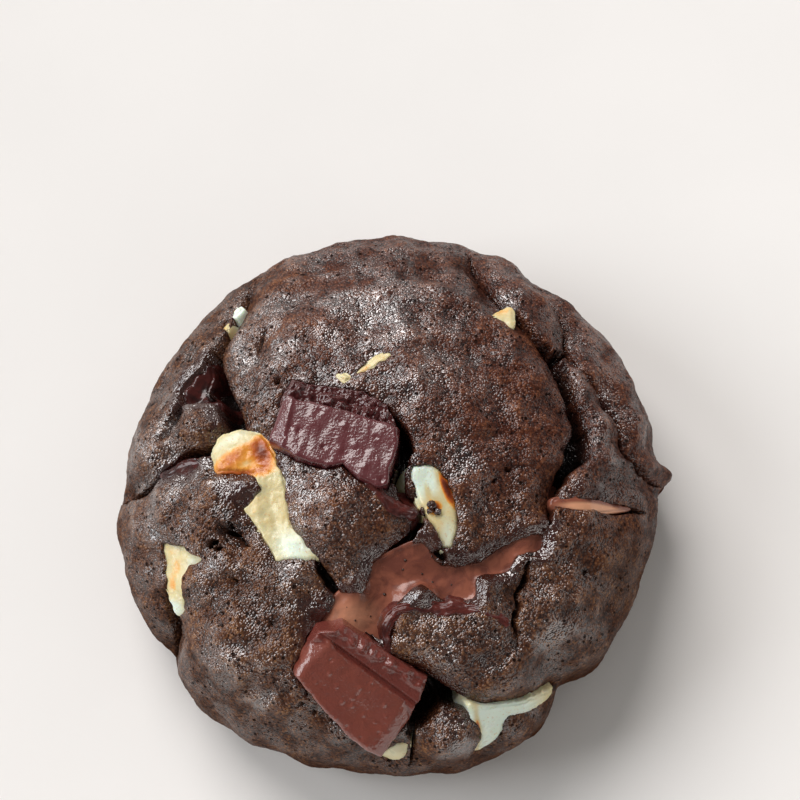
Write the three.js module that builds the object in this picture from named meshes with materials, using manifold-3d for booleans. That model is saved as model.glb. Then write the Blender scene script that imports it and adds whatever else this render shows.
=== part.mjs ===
// A thick, soft-baked cocoa cookie, cracked on top, with pieces of dark, milk and white chocolate.
// Millimetres, +Z up. The origin is the middle of the flat base, +X is to the right and +Y to the back.
//
// The crust is laid out on a flat map, as if it were peeled off and pressed flat. A map point (x, y)
// is the crust point at the arc length hypot(x, y) from the crown, on the bearing of (x, y), and a lift
// is a distance out from there along the normal. Every lobe, crack and piece has its place on the map.

import * as THREE from "three";
import { TessellateModifier } from "three/addons/modifiers/TessellateModifier.js";
import { mergeVertices } from "three/addons/utils/BufferGeometryUtils.js";
import Module from "manifold-3d";

const wasm = await Module();
wasm.setup();

// ---- Driving dimensions ----

const COOKIE = { radius: 50, height: 36, waist: 13, baseRadius: 44 };
const CROWN = 12; // radius round the crown that the rim's swells don't reach
const GAP = 0.3; // air between a piece and the crust or piece beside it
const CELLS = 48; // crust cells along each side of the map
const CUTTER_LIFT = 9; // how far an opening is cut clear above the crust
const SPAN = 4.2; // longest edge on a sheet of chocolate
const THIN = 0.01; // a sheet is this thin while its edges are split, so that its walls stay whole
const STEP = 2.3; // spacing of the points of a smoothed outline

// Rim: bearing in degrees, spread in degrees, and how far the outline stands out or in there.
const RIM = [
  [4.6, 2.2, 2.6],
  [15.5, 3.5, 1.2],
  [48, 18, 0.7],
  [88, 9, 0.7],
  [90, 55, 1.3],
  [154, 24, -1.6],
  [186, 9, 0.6],
  [214, 4, -1.9],
  [230, 9, 0.7],
  [254, 12, -0.4],
  [264, 5, -0.8],
  [292, 13, 0.2],
  [312, 7, -3.9],
  [336, 17, -2.1],
];

// Lobes of risen dough: map place, half lengths along and across, turn in degrees, and rise.
const LOBES = [
  { at: [0, 12], size: [25, 23], turn: 0, rise: 2.6 },
  { at: [36.5, 10], size: [5, 13], turn: -12, rise: 1.8 },
  { at: [27, 31.5], size: [6, 9], turn: 35, rise: 1.2 },
  { at: [45, 14], size: [4.5, 16], turn: -15, rise: 1.0 },
  { at: [24, -30.5], size: [15, 10], turn: 8, rise: 3.0 },
  { at: [40, -14], size: [9, 11], turn: 0, rise: 1.4 },
  { at: [-25, -31], size: [14, 13], turn: -35, rise: 2.4 },
  { at: [-9, -8], size: [9.5, 9.5], turn: 0, rise: 2.2 },
  { at: [-34, -8], size: [10, 9], turn: 0, rise: 1.8 },
  { at: [-48, 14], size: [5, 15], turn: 8, rise: 1.4 },
  { at: [-35, 11.5], size: [5, 4.5], turn: 20, rise: 1.8 },
  { at: [9, -48], size: [8, 6], turn: 0, rise: 1.8 },
  { at: [24, -50], size: [6, 4.5], turn: 15, rise: 0.6 },
];

// Cracks: the line on the map, half width where it is widest, and depth there.
const CRACKS = [
  { line: [[-28, 39], [-31, 32], [-32.5, 25], [-32, 20], [-29.5, 14], [-26, 9.5]], width: 1.9, depth: 9 },
  { line: [[-56, 1], [-46, 1], [-42, 3.5], [-35, 5], [-29, 7]], width: 1.0, depth: 5 },
  { line: [[-33, 20], [-39, 16.5], [-45, 10]], width: 1.2, depth: 5 },
  { line: [[-38, -19], [-44, -27], [-49, -32], [-54, -38]], width: 1.4, depth: 4.5 },
  { line: [[17, 48], [20, 37], [25, 29], [31, 21.5], [35, 10], [32, 2], [28, -10]], width: 1.9, depth: 9 },
  { line: [[37, 28], [29, 21.5]], width: 1.2, depth: 4 },
  { line: [[32, 41], [34.5, 30], [38, 21.5], [42, 14], [44, 8], [50, 2.5], [58, 2]], width: 1.0, depth: 4 },
  { line: [[-1, -33], [9, -38.5], [16.5, -42], [24, -42.5], [36, -43.5]], width: 2.0, depth: 7 },
  { line: [[5, -36], [7.5, -41], [4.5, -46]], width: 2.2, depth: 7 },
  { line: [[2, 10], [3, 3], [1.5, -3], [0, -9]], width: 1.7, depth: 8 },
  { line: [[23.5, -20], [22.5, -31]], width: 0.5, depth: 2.5 },
];
const CRACK_STEP = 3; // spacing of the sections along a crack
const CRACK_LIFT = 4; // how far a crack's cutter reaches above the crust
const SHOULDER = { width: 3.6, depth: 1.1 }; // the dough rounds down into each crack
const BASE_FADE = 7; // arc length over which relief dies out above the base

// Low waves that make the crust uneven: how many, shortest and longest wave, and height of each.
const WAVES = { count: 5, shortest: 11, longest: 21, height: 0.18, turn: 2.4 };

const FINISH = {
  dough: { color: 0x4b372f, roughness: 0.62 },
  dark: { color: 0x4a2a2c, roughness: 0.42 },
  milk: { color: 0x6e4034, roughness: 0.36 },
  white: { color: 0xe3d9ab, roughness: 0.4 },
};

// ---- Crust form ----

// Section of the plain cookie from the crown to the edge of the base: radius, height and arc length.
const SECTION = (() => {
  const { radius, height, waist, baseRadius } = COOKIE;
  const samples = 400;
  const rows = [];
  for (let i = 0; i <= samples; i++) {
    const turn = (Math.PI * i) / samples;
    const side = Math.abs(Math.sin(turn));
    const rise = Math.abs(Math.cos(turn));
    const upper = i <= samples / 2;
    const r = upper ? radius * side ** 0.84 : baseRadius + (radius - baseRadius) * side ** 0.9;
    const z = upper ? waist + (height - waist) * rise ** 0.92 : waist - waist * rise ** 0.9;
    const last = rows[i - 1];
    const arc = last ? last.arc + Math.hypot(r - last.r, z - last.z) : 0;
    rows.push({ r, z, arc });
  }
  return rows;
})();
const REACH = SECTION.at(-1).arc; // arc length from the crown to the edge of the base

function sectionAt(arc) {
  const s = THREE.MathUtils.clamp(arc, 0, REACH);
  let low = 0;
  let high = SECTION.length - 1;
  while (high - low > 1) {
    const middle = (low + high) >> 1;
    if (SECTION[middle].arc > s) high = middle;
    else low = middle;
  }
  const a = SECTION[low];
  const b = SECTION[high];
  const t = (s - a.arc) / (b.arc - a.arc);
  return [a.r + (b.r - a.r) * t, a.z + (b.z - a.z) * t];
}

// How far the rim stands out at a bearing, as a share of the radius.
function rimShare(bearing) {
  const degrees = THREE.MathUtils.radToDeg(bearing);
  let out = 0;
  for (const [at, spread, by] of RIM) {
    const off = THREE.MathUtils.euclideanModulo(degrees - at + 180, 360) - 180;
    out += by * Math.exp(-((off / spread) ** 2));
  }
  return out / COOKIE.radius;
}

// The crust point of a map point, moved out by a lift.
function crustPoint(x, y, lift = 0) {
  const arc = Math.hypot(x, y);
  const bearing = Math.atan2(y, x);
  const [r, z] = sectionAt(arc);
  const [rIn, zIn] = sectionAt(arc - 0.5);
  const [rOut, zOut] = sectionAt(arc + 0.5);
  const length = Math.hypot(rOut - rIn, zOut - zIn) || 1;
  const widen = 1 + rimShare(bearing) * THREE.MathUtils.smoothstep(r, CROWN, COOKIE.radius);
  const out = r * widen - (lift * (zOut - zIn)) / length;
  const up = z + (lift * (rOut - rIn)) / length;
  return new THREE.Vector3(out * Math.cos(bearing), out * Math.sin(bearing), up);
}

function lobes(x, y) {
  let rise = 0;
  for (const lobe of LOBES) {
    const turn = THREE.MathUtils.degToRad(lobe.turn);
    const dx = x - lobe.at[0];
    const dy = y - lobe.at[1];
    const along = (dx * Math.cos(turn) + dy * Math.sin(turn)) / lobe.size[0];
    const across = (dy * Math.cos(turn) - dx * Math.sin(turn)) / lobe.size[1];
    rise += lobe.rise * Math.exp(-along * along - across * across);
  }
  return rise;
}

// Distance on the map from a point to a line of points.
function distanceTo(line, x, y) {
  let best = Infinity;
  for (let i = 1; i < line.length; i++) {
    const [ax, ay] = line[i - 1];
    const [bx, by] = [line[i][0] - ax, line[i][1] - ay];
    const t = THREE.MathUtils.clamp(((x - ax) * bx + (y - ay) * by) / (bx * bx + by * by), 0, 1);
    best = Math.min(best, Math.hypot(x - ax - bx * t, y - ay - by * t));
  }
  return best;
}

function shoulders(x, y) {
  const distance = Math.min(...CRACKS.map(({ line }) => distanceTo(line, x, y)));
  return SHOULDER.depth * Math.exp(-((distance / SHOULDER.width) ** 2));
}

function waves(x, y) {
  let height = 0;
  for (let k = 0; k < WAVES.count; k++) {
    const length = WAVES.shortest + ((WAVES.longest - WAVES.shortest) * k) / (WAVES.count - 1);
    const turn = WAVES.turn * k;
    const run = (x * Math.cos(turn) + y * Math.sin(turn)) / length;
    height += WAVES.height * Math.sin(2 * Math.PI * run + k);
  }
  return height;
}

function relief(x, y) {
  const fade = THREE.MathUtils.smoothstep(REACH - Math.hypot(x, y), 0, BASE_FADE);
  return fade * (lobes(x, y) + waves(x, y) - shoulders(x, y));
}

// ---- Solids ----

function toSolid(geometry) {
  const bare = new THREE.BufferGeometry();
  bare.setAttribute("position", geometry.getAttribute("position"));
  if (geometry.index) bare.setIndex(geometry.index);
  const merged = mergeVertices(bare, 1e-4);
  return new wasm.Manifold(
    new wasm.Mesh({
      numProp: 3,
      vertProperties: new Float32Array(merged.attributes.position.array),
      triVerts: new Uint32Array(merged.index.array),
    }),
  );
}

function toGeometry(solid) {
  const { vertProperties, triVerts } = solid.getMesh();
  const geometry = new THREE.BufferGeometry();
  geometry.setAttribute("position", new THREE.BufferAttribute(vertProperties, 3));
  geometry.setIndex(new THREE.BufferAttribute(triVerts, 1));
  return geometry;
}

// The largest body of a solid: a cut can leave loose scraps beside it.
function largest(solid) {
  return solid.decompose().reduce((a, b) => (b.volume() > a.volume() ? b : a));
}

// The crust down to its flat base. The square grid of cells is pressed into the round map ring by ring.
function doughSolid() {
  const points = [];
  const faces = [];
  const at = (i, j) => j * (CELLS + 1) + i;
  for (let j = 0; j <= CELLS; j++) {
    for (let i = 0; i <= CELLS; i++) {
      const u = (2 * i) / CELLS - 1;
      const v = (2 * j) / CELLS - 1;
      const ring = Math.max(Math.abs(u), Math.abs(v));
      const flip = Math.abs(u) >= Math.abs(v) ? u : v;
      const part = flip === 0 ? 0 : ((Math.PI / 4) * (flip === u ? v : u)) / flip;
      const bearing = Math.abs(u) >= Math.abs(v) ? part : Math.PI / 2 - part;
      const arc = REACH * ring * (0.8 + 0.2 * ring * ring) * Math.sign(flip);
      const x = arc * Math.cos(bearing);
      const y = arc * Math.sin(bearing);
      points.push(...crustPoint(x, y, relief(x, y)));
      if (i < CELLS && j < CELLS) {
        faces.push(at(i, j), at(i + 1, j), at(i + 1, j + 1), at(i, j), at(i + 1, j + 1), at(i, j + 1));
      }
    }
  }
  const middle = points.length / 3;
  points.push(0, 0, 0);
  for (let i = 0; i < CELLS; i++) {
    faces.push(middle, at(i + 1, 0), at(i, 0), middle, at(i, CELLS), at(i + 1, CELLS));
    faces.push(middle, at(CELLS, i + 1), at(CELLS, i), middle, at(0, i), at(0, i + 1));
  }
  const geometry = new THREE.BufferGeometry();
  geometry.setAttribute("position", new THREE.Float32BufferAttribute(points, 3));
  geometry.setIndex(faces);
  return toSolid(geometry);
}

// Every point of a closed outline moved outwards by a distance.
function grown(points, outwards) {
  const side = THREE.ShapeUtils.area(points) > 0 ? 1 : -1;
  return points.map((p, i) => {
    const before = points.at(i - 1);
    const after = points[(i + 1) % points.length];
    const run = new THREE.Vector2(after.x - before.x, after.y - before.y).normalize();
    return new THREE.Vector2(p.x + side * run.y * outwards, p.y - side * run.x * outwards);
  });
}

// The outline of a broken edge, which keeps its corners.
function brokenOutline(corners, outwards = 0) {
  return grown(corners.map(([x, y]) => new THREE.Vector2(x, y)), outwards);
}

// A closed outline drawn smoothly through a few points.
function smoothOutline(corners, outwards = 0) {
  const places = corners.map(([x, y]) => new THREE.Vector3(x, y, 0));
  const curve = new THREE.CatmullRomCurve3(places, true, "centripetal");
  const count = Math.max(8, Math.round(curve.getLength() / STEP));
  return grown(curve.getSpacedPoints(count).slice(0, count), outwards);
}

// A closed outline round a line, half a width to each side of it.
function ribbon(line, halfWidth) {
  const sides = [1, -1].map((side) =>
    line.map(([x, y], i) => {
      const [ax, ay] = line[Math.max(0, i - 1)];
      const [bx, by] = line[Math.min(line.length - 1, i + 1)];
      const length = Math.hypot(bx - ax, by - ay);
      return [x - (side * halfWidth * (by - ay)) / length, y + (side * halfWidth * (bx - ax)) / length];
    }),
  );
  return [...sides[0], ...sides[1].reverse()];
}

// A slab in an outline, between two heights, with its upper and lower edges taken off by a bevel.
function slab(outline, low, high, bevel = 0) {
  const geometry = new THREE.ExtrudeGeometry(new THREE.Shape(outline), {
    depth: high - low - 2 * bevel,
    bevelEnabled: bevel > 0,
    bevelThickness: bevel,
    bevelSize: bevel,
    bevelOffset: -bevel,
    bevelSegments: 1,
  });
  return geometry.translate(0, 0, low + bevel);
}

// A slab bent onto the swollen crust: its heights become lifts above the lobes, plus its own bumps.
function sheet(outline, low, high, bevel, bumps = []) {
  const flat = slab(outline, low, high, bevel).scale(1, 1, THIN);
  flat.deleteAttribute("normal");
  flat.deleteAttribute("uv");
  const bent = new TessellateModifier(SPAN, 40).modify(flat).scale(1, 1, 1 / THIN);
  const place = bent.getAttribute("position");
  for (let i = 0; i < place.count; i++) {
    const x = place.getX(i);
    const y = place.getY(i);
    const height = place.getZ(i);
    const share = (height - low) / (high - low);
    let lift = lobes(x, y) + height;
    for (const { at, size, rise } of bumps) {
      lift += share * rise * Math.exp(-(((x - at[0]) ** 2 + (y - at[1]) ** 2) / size ** 2));
    }
    const p = crustPoint(x, y, lift);
    place.setXYZ(i, p.x, p.y, p.z);
  }
  return toSolid(bent);
}

// The wedge that cuts a crack: a three-cornered section carried along the line, widest and deepest in
// the middle of the line and drawn to almost nothing at both ends.
function wedge({ line, width, depth }) {
  const curve = new THREE.CatmullRomCurve3(line.map(([x, y]) => new THREE.Vector3(x, y, 0)));
  const count = Math.max(3, Math.round(curve.getLength() / CRACK_STEP));
  const points = [];
  const faces = [];
  for (let i = 0; i <= count; i++) {
    const p = curve.getPointAt(i / count);
    const run = curve.getTangentAt(i / count);
    const open = Math.max(0.08, Math.abs(Math.sin((Math.PI * i) / count)) ** 0.6);
    const deep = depth * open;
    const half = (width * open * (deep + CRACK_LIFT)) / deep;
    const crust = lobes(p.x, p.y);
    for (const [side, lift] of [[half, CRACK_LIFT], [-half, CRACK_LIFT], [0, -deep]]) {
      points.push(...crustPoint(p.x - run.y * side, p.y + run.x * side, crust + lift));
    }
    if (i < count) {
      for (const [a, b] of [[0, 1], [1, 2], [2, 0]]) {
        const [c, d] = [3 * i + a, 3 * i + b];
        faces.push(c, d, d + 3, c, d + 3, c + 3);
      }
    }
  }
  faces.push(2, 1, 0, 3 * count, 3 * count + 1, 3 * count + 2);
  const geometry = new THREE.BufferGeometry();
  geometry.setAttribute("position", new THREE.Float32BufferAttribute(points, 3));
  geometry.setIndex(faces);
  return toSolid(geometry);
}

// A frame on the swollen crust. Its third axis is the crust's normal, dipped by an angle towards its
// first axis and leant by an angle towards its second.
function seat([x, y], yaw, dip, lean) {
  const at = (dx, dy) => crustPoint(x + dx, y + dy, lobes(x + dx, y + dy));
  const across = at(1, 0).sub(at(-1, 0));
  const normal = across.cross(at(0, 1).sub(at(0, -1))).normalize();
  const heading = THREE.MathUtils.degToRad(yaw);
  const along = new THREE.Vector3(Math.cos(heading), Math.sin(heading), 0);
  along.addScaledVector(normal, -along.dot(normal)).normalize();
  const side = normal.clone().cross(along);
  return new THREE.Matrix4()
    .makeBasis(along, side, normal)
    .setPosition(at(0, 0))
    .multiply(new THREE.Matrix4().makeRotationY(THREE.MathUtils.degToRad(dip)))
    .multiply(new THREE.Matrix4().makeRotationX(THREE.MathUtils.degToRad(-lean)));
}

// ---- Chocolate pieces ----

// A broken piece of a bar: a bevelled face block, with a lower ledge or flange along one side.
const BARS = {
  dark_chunk: {
    seat: seat([-9, 6.5], -17, 5, 0),
    face: {
      outline: [[-11, 4.5], [-0.5, 4.6], [10.3, 4.2], [11.2, 0], [11.2, -6.8], [9.5, -7.6], [6, -7],
        [2.8, -5.2], [0, -6.4], [-5.5, -6.2], [-11.3, -4.3]],
      high: 1.6,
      bevel: 0.7,
    },
    ledge: {
      outline: [[-11.6, 3], [-10.8, 8], [-7, 8], [-2.8, 8.6], [2.5, 9], [6.8, 7.8], [9.9, 4.5], [9, 0]],
      high: 0.3,
      bevel: 0.5,
    },
    low: -6.5,
  },
  milk_chunk: {
    seat: seat([-5.5, -39], -45, 3, 6),
    face: {
      outline: [[-11.8, -4.8], [-13.2, 1.5], [-12, 4], [-5.3, 3.4], [1, 3.6], [6.5, 3.8], [9.4, 1.6],
        [10, -7], [7, -7.7], [2.5, -7.5], [-1.5, -6.8]],
      high: 2.4,
      bevel: 1.1,
    },
    ledge: {
      outline: [[-13.3, 1], [-13.3, 4], [-10.5, 7.5], [-5.5, 8.2], [0, 8.3], [7.2, 9.2], [8.6, 5], [9.4, 1.6],
        [0, -2]],
      high: 0.4,
      bevel: 0.4,
    },
    low: -7,
  },
};

// Chocolate that shows in an opening of the crust: outline on the map, lift of its top and its
// bottom, edge bevel, and bumps on its top.
const SHEETS = {
  milk_pool: {
    finish: "milk",
    outline: [[-13.5, -27.5], [-11, -24], [-9, -21], [-5, -21], [-3, -16], [0.5, -14], [5.5, -12.5],
      [8, -15.5], [12, -16.8], [16, -16], [19.5, -13.5], [28, -11], [27.5, -13.5], [22.5, -15],
      [21.5, -17.5], [15.5, -19.2], [15, -22], [12.5, -23], [9, -22.5], [5.5, -19.8], [1.5, -22.5],
      [-0.5, -25], [-1.5, -29.5], [-5.5, -28], [-9.5, -27.5]],
    high: -2.2,
    low: -5.5,
    bevel: 0,
  },
  white_chunk_left: {
    finish: "white",
    outline: [[-32, 5], [-30.5, 8], [-26.5, 9], [-23, 8], [-20, 3], [-18.5, -1], [-17.5, -9], [-12.5, -15],
      [-16, -14.8], [-20.5, -15], [-23.5, -9], [-26, -5.5], [-22.7, -2.5], [-23.5, 0.5], [-26.5, 1.5],
      [-30.5, 1.8]],
    high: -0.4,
    low: -5.5,
    bevel: 0.7,
    bumps: [{ at: [-27, 5], size: 5, rise: 1.7 }],
  },
  white_chunk_far_left: {
    finish: "white",
    outline: [[-42, -10], [-38, -10.3], [-33.5, -14], [-36.5, -15.5], [-37.8, -19], [-39.5, -24],
      [-41.5, -24], [-42.3, -20.5], [-42, -15]],
    high: -0.8,
    low: -5,
    bevel: 0.5,
  },
  white_chunk_right: {
    finish: "white",
    outline: [[4.5, 1], [7.5, 1], [10, -1.5], [11.5, -5.5], [11.5, -10], [10, -13.6], [8.3, -11.5], [5.5, -6],
      [4, -1.5]],
    high: 0.2,
    low: -5,
    bevel: 0.8,
  },
  white_bit: {
    finish: "white",
    outline: [[-9, 18], [-7.3, 18.4], [-6.5, 17.2], [-7.4, 16.3], [-8.6, 16.6]],
    high: 0.4,
    low: -3,
    bevel: 0.3,
  },
  white_streak: {
    finish: "white",
    outline: [[-6, 18.3], [-3.2, 20.6], [-0.3, 21.7], [-0.1, 20.8], [-2.8, 19.1], [-5.3, 17.7]],
    high: 0.2,
    low: -2.5,
    bevel: 0.2,
  },
  white_shard: {
    finish: "white",
    outline: [[18.6, 30.2], [21, 31.3], [22.5, 33], [23.1, 30.5], [22.6, 28], [20.6, 29]],
    high: 0.3,
    low: -3.5,
    bevel: 0.3,
  },
  white_bead: {
    finish: "white",
    outline: [[-30.6, 37], [-29.4, 38.6], [-27.9, 37.2], [-28.6, 35], [-30, 35.2]],
    high: 0,
    low: -3.5,
    bevel: 0.3,
  },
  white_bead_low: {
    finish: "white",
    outline: [[-33.2, 34.5], [-31.6, 35.8], [-30.6, 34.2], [-31.2, 32.6], [-32.8, 32.8]],
    high: -0.4,
    low: -3.5,
    bevel: 0.3,
  },
  milk_slab_right: {
    finish: "milk",
    outline: [[30, -5.2], [36, -4.2], [42, -4.2], [45.5, -4.8], [41, -6.2], [36, -6.7], [31.5, -6.8]],
    high: 0.2,
    low: -4.5,
    bevel: 0.3,
  },
  dark_chunk_left: {
    finish: "dark",
    outline: [[-39.5, 16.5], [-38, 19.5], [-34, 19.5], [-30.5, 17], [-31.5, 14.5], [-35.5, 14.6]],
    high: -3,
    low: -7.5,
    bevel: 0.6,
  },
  dark_seam_left: {
    finish: "dark",
    outline: ribbon([[-43, 2], [-39.5, 2.8], [-35.5, 3.9]], 1.1),
    high: -0.2,
    low: -3.5,
    bevel: 0.3,
  },
  dark_smear: {
    finish: "dark",
    outline: ribbon([[-0.6, -31], [-1, -27], [0.8, -24.3], [6, -24.1], [11, -24.8], [16, -25], [20.5, -27]],
      0.8),
    high: 0.6,
    low: -2,
    bevel: 0.3,
  },
  white_melt_front: {
    finish: "white",
    outline: [[14, -41.3], [18, -42.3], [22, -41.5], [28.5, -41.3], [27, -43.8], [22.5, -43.4], [21.3, -45.3],
      [19.3, -45], [19.2, -50], [18, -54], [16, -53], [17, -48.5], [16.8, -46.5], [15.3, -43.8]],
    high: -1.4,
    low: -4.5,
    bevel: 0.3,
  },
  white_chip_front: {
    finish: "white",
    outline: [[-3, -54.2], [-0.5, -50.5], [1.8, -47.6], [3, -48.6], [2.5, -52.6], [0, -55]],
    high: -1.2,
    low: -4.5,
    bevel: 0.3,
  },
};

// A bar piece grown on every side by a gap, which may be nothing.
function barSolid({ seat: place, face, ledge, low }, gap) {
  const block = ({ outline, high, bevel }) =>
    toSolid(slab(brokenOutline(outline, gap), low - gap, high + gap, bevel).applyMatrix4(place));
  return block(face).add(block(ledge));
}

function named(name, solid, finish) {
  const material = new THREE.MeshStandardMaterial({ ...FINISH[finish], metalness: 0 });
  const mesh = new THREE.Mesh(toGeometry(largest(solid)), material);
  mesh.name = name;
  return mesh;
}

// ---- The cookie ----

function cookie() {
  const group = new THREE.Group();
  let dough = doughSolid();
  for (const crack of CRACKS) dough = dough.subtract(wedge(crack));
  const barCutters = Object.values(BARS).map((bar) => barSolid(bar, GAP));
  for (const cutter of barCutters) dough = dough.subtract(cutter);
  group.add(named("dark_chunk", barSolid(BARS.dark_chunk, 0), "dark"));
  group.add(named("milk_chunk", barSolid(BARS.milk_chunk, 0), "milk"));
  for (const [name, { finish, outline, low, high, bevel, bumps }] of Object.entries(SHEETS)) {
    let piece = sheet(smoothOutline(outline), low, high, bevel, bumps);
    for (const cutter of barCutters) piece = piece.subtract(cutter);
    group.add(named(name, piece, finish));
    dough = dough.subtract(sheet(smoothOutline(outline, GAP), low - GAP, CUTTER_LIFT, 0));
  }
  group.add(named("cookie_dough", dough, "dough"));
  return group;
}

export default cookie();
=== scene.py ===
"""The finished look of a thick, soft-baked cocoa cookie with dark, milk and white chocolate.

The crust is laid out on a flat map, as if it were peeled off and pressed flat: the map point (x, y), in
millimetres, is the crust point at the arc length hypot(x, y) from the crown, on the bearing of (x, y).
A lift is a distance out from there along the normal. Lobes, cracks and pieces all have map places.
"""

import itertools
import math
from typing import NamedTuple

import bpy
import numpy as np
from bpy.props import FloatProperty, FloatVectorProperty, IntProperty, PointerProperty
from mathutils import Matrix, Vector


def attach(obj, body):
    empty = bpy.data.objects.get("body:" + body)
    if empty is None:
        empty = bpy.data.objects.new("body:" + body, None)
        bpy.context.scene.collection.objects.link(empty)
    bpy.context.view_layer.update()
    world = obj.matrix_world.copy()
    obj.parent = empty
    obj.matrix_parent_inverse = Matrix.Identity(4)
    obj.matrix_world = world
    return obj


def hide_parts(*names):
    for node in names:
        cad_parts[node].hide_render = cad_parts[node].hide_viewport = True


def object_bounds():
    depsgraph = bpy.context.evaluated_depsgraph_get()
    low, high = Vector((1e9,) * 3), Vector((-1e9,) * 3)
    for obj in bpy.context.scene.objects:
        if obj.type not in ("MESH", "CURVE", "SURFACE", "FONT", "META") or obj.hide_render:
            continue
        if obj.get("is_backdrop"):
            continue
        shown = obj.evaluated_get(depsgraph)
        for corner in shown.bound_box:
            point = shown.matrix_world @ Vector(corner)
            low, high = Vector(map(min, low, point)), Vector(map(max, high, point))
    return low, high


bl_info = {
    "name": "Triple Chocolate Cookie",
    "version": (1, 0, 0),
    "blender": (4, 5, 0),
    "location": "View3D > Sidebar > Cookie",
    "description": "Dresses a thick cocoa cookie with its crust, chocolate pieces and stage",
    "category": "Add Mesh",
}

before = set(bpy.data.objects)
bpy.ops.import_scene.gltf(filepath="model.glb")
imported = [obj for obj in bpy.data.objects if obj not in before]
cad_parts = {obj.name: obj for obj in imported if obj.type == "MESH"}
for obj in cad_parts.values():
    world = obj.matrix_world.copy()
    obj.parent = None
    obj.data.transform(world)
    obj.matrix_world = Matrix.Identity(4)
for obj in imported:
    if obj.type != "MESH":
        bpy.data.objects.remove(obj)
CAD_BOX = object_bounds()
BODY = "root"
MM = 0.001
PIXELS_PER_MM = 5.38
AIM_RIGHT, AIM_UP = 12 / PIXELS_PER_MM, 105 / PIXELS_PER_MM  # how far from the middle the camera aims

# ---- Places on the crust map, in millimetres ----

# Rim: bearing and spread in degrees, and how far the outline stands out or in there.
RIM = np.array([
    (4.6, 2.2, 2.6), (15.5, 3.5, 1.2), (48, 18, 0.7), (88, 9, 0.7), (90, 55, 1.3), (154, 24, -1.6),
    (186, 9, 0.6), (214, 4, -1.9), (230, 9, 0.7), (254, 12, -0.4), (264, 5, -0.8), (292, 13, 0.2),
    (312, 7, -3.9), (336, 17, -2.1),
])

# Lobes of risen dough: place, half length along and across, turn in degrees, and rise.
LOBES = [
    (0, 12, 25, 23, 0, 2.6), (36.5, 10, 5, 13, -12, 1.8), (27, 31.5, 6, 9, 35, 1.2),
    (45, 14, 4.5, 16, -15, 1.0), (24, -30.5, 15, 10, 8, 3.0), (40, -14, 9, 11, 0, 1.4),
    (-25, -31, 14, 13, -35, 2.4), (-8.5, -8, 9, 9.5, 0, 2.8), (-34, -8, 10, 9, 0, 1.8),
    (-48, 14, 5, 15, 8, 1.4), (-36, 11, 5, 4, 20, 2.2), (9.6, -48, 6, 4.8, 0, 3.1),
    (24, -50, 6, 4.5, 15, 0.6),
]

# Smaller swellings and dents of the skin, laid out like the lobes.
DIMPLES = [
    (4.6, -21.6, 3.8, 2.0, 8, 2.0), (12, 35, 7, 1.3, -22, 0.7), (9, 38.5, 6, 2.4, -15, -0.8),
    (-21.8, 27, 4.6, 1.5, 40, -0.9), (18.5, 6.3, 4, 1.1, 5, -0.7), (16, 12, 7, 5, 30, 0.5),
    (-20, 22, 8, 7, 20, 0.6), (20, 20, 7, 9, 10, 0.4), (7, -9, 3, 6, 10, 0.6), (-13, 31, 9, 5, 20, 0.5),
    (-23.5, -1, 2.6, 2.2, -20, 0.9), (38, -2.2, 7, 1.6, 0, 0.6), (-38, -28, 5, 7, 30, 0.5),
    (-12, -18, 5, 4, 0, -0.5), (30, -22, 5, 5, 0, 0.4), (20, -36, 8, 4, 10, 0.5), (1.5, 31, 1.8, 7, 18, 0.5),
    (6.5, 15, 1.8, 6, 28, 0.45), (15.5, 22, 3, 6, -10, -0.7), (-12.5, 20, 3, 4, 0, 0.4),
    (-6, -21, 2.2, 2.2, 0, 1.2),
]

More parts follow.
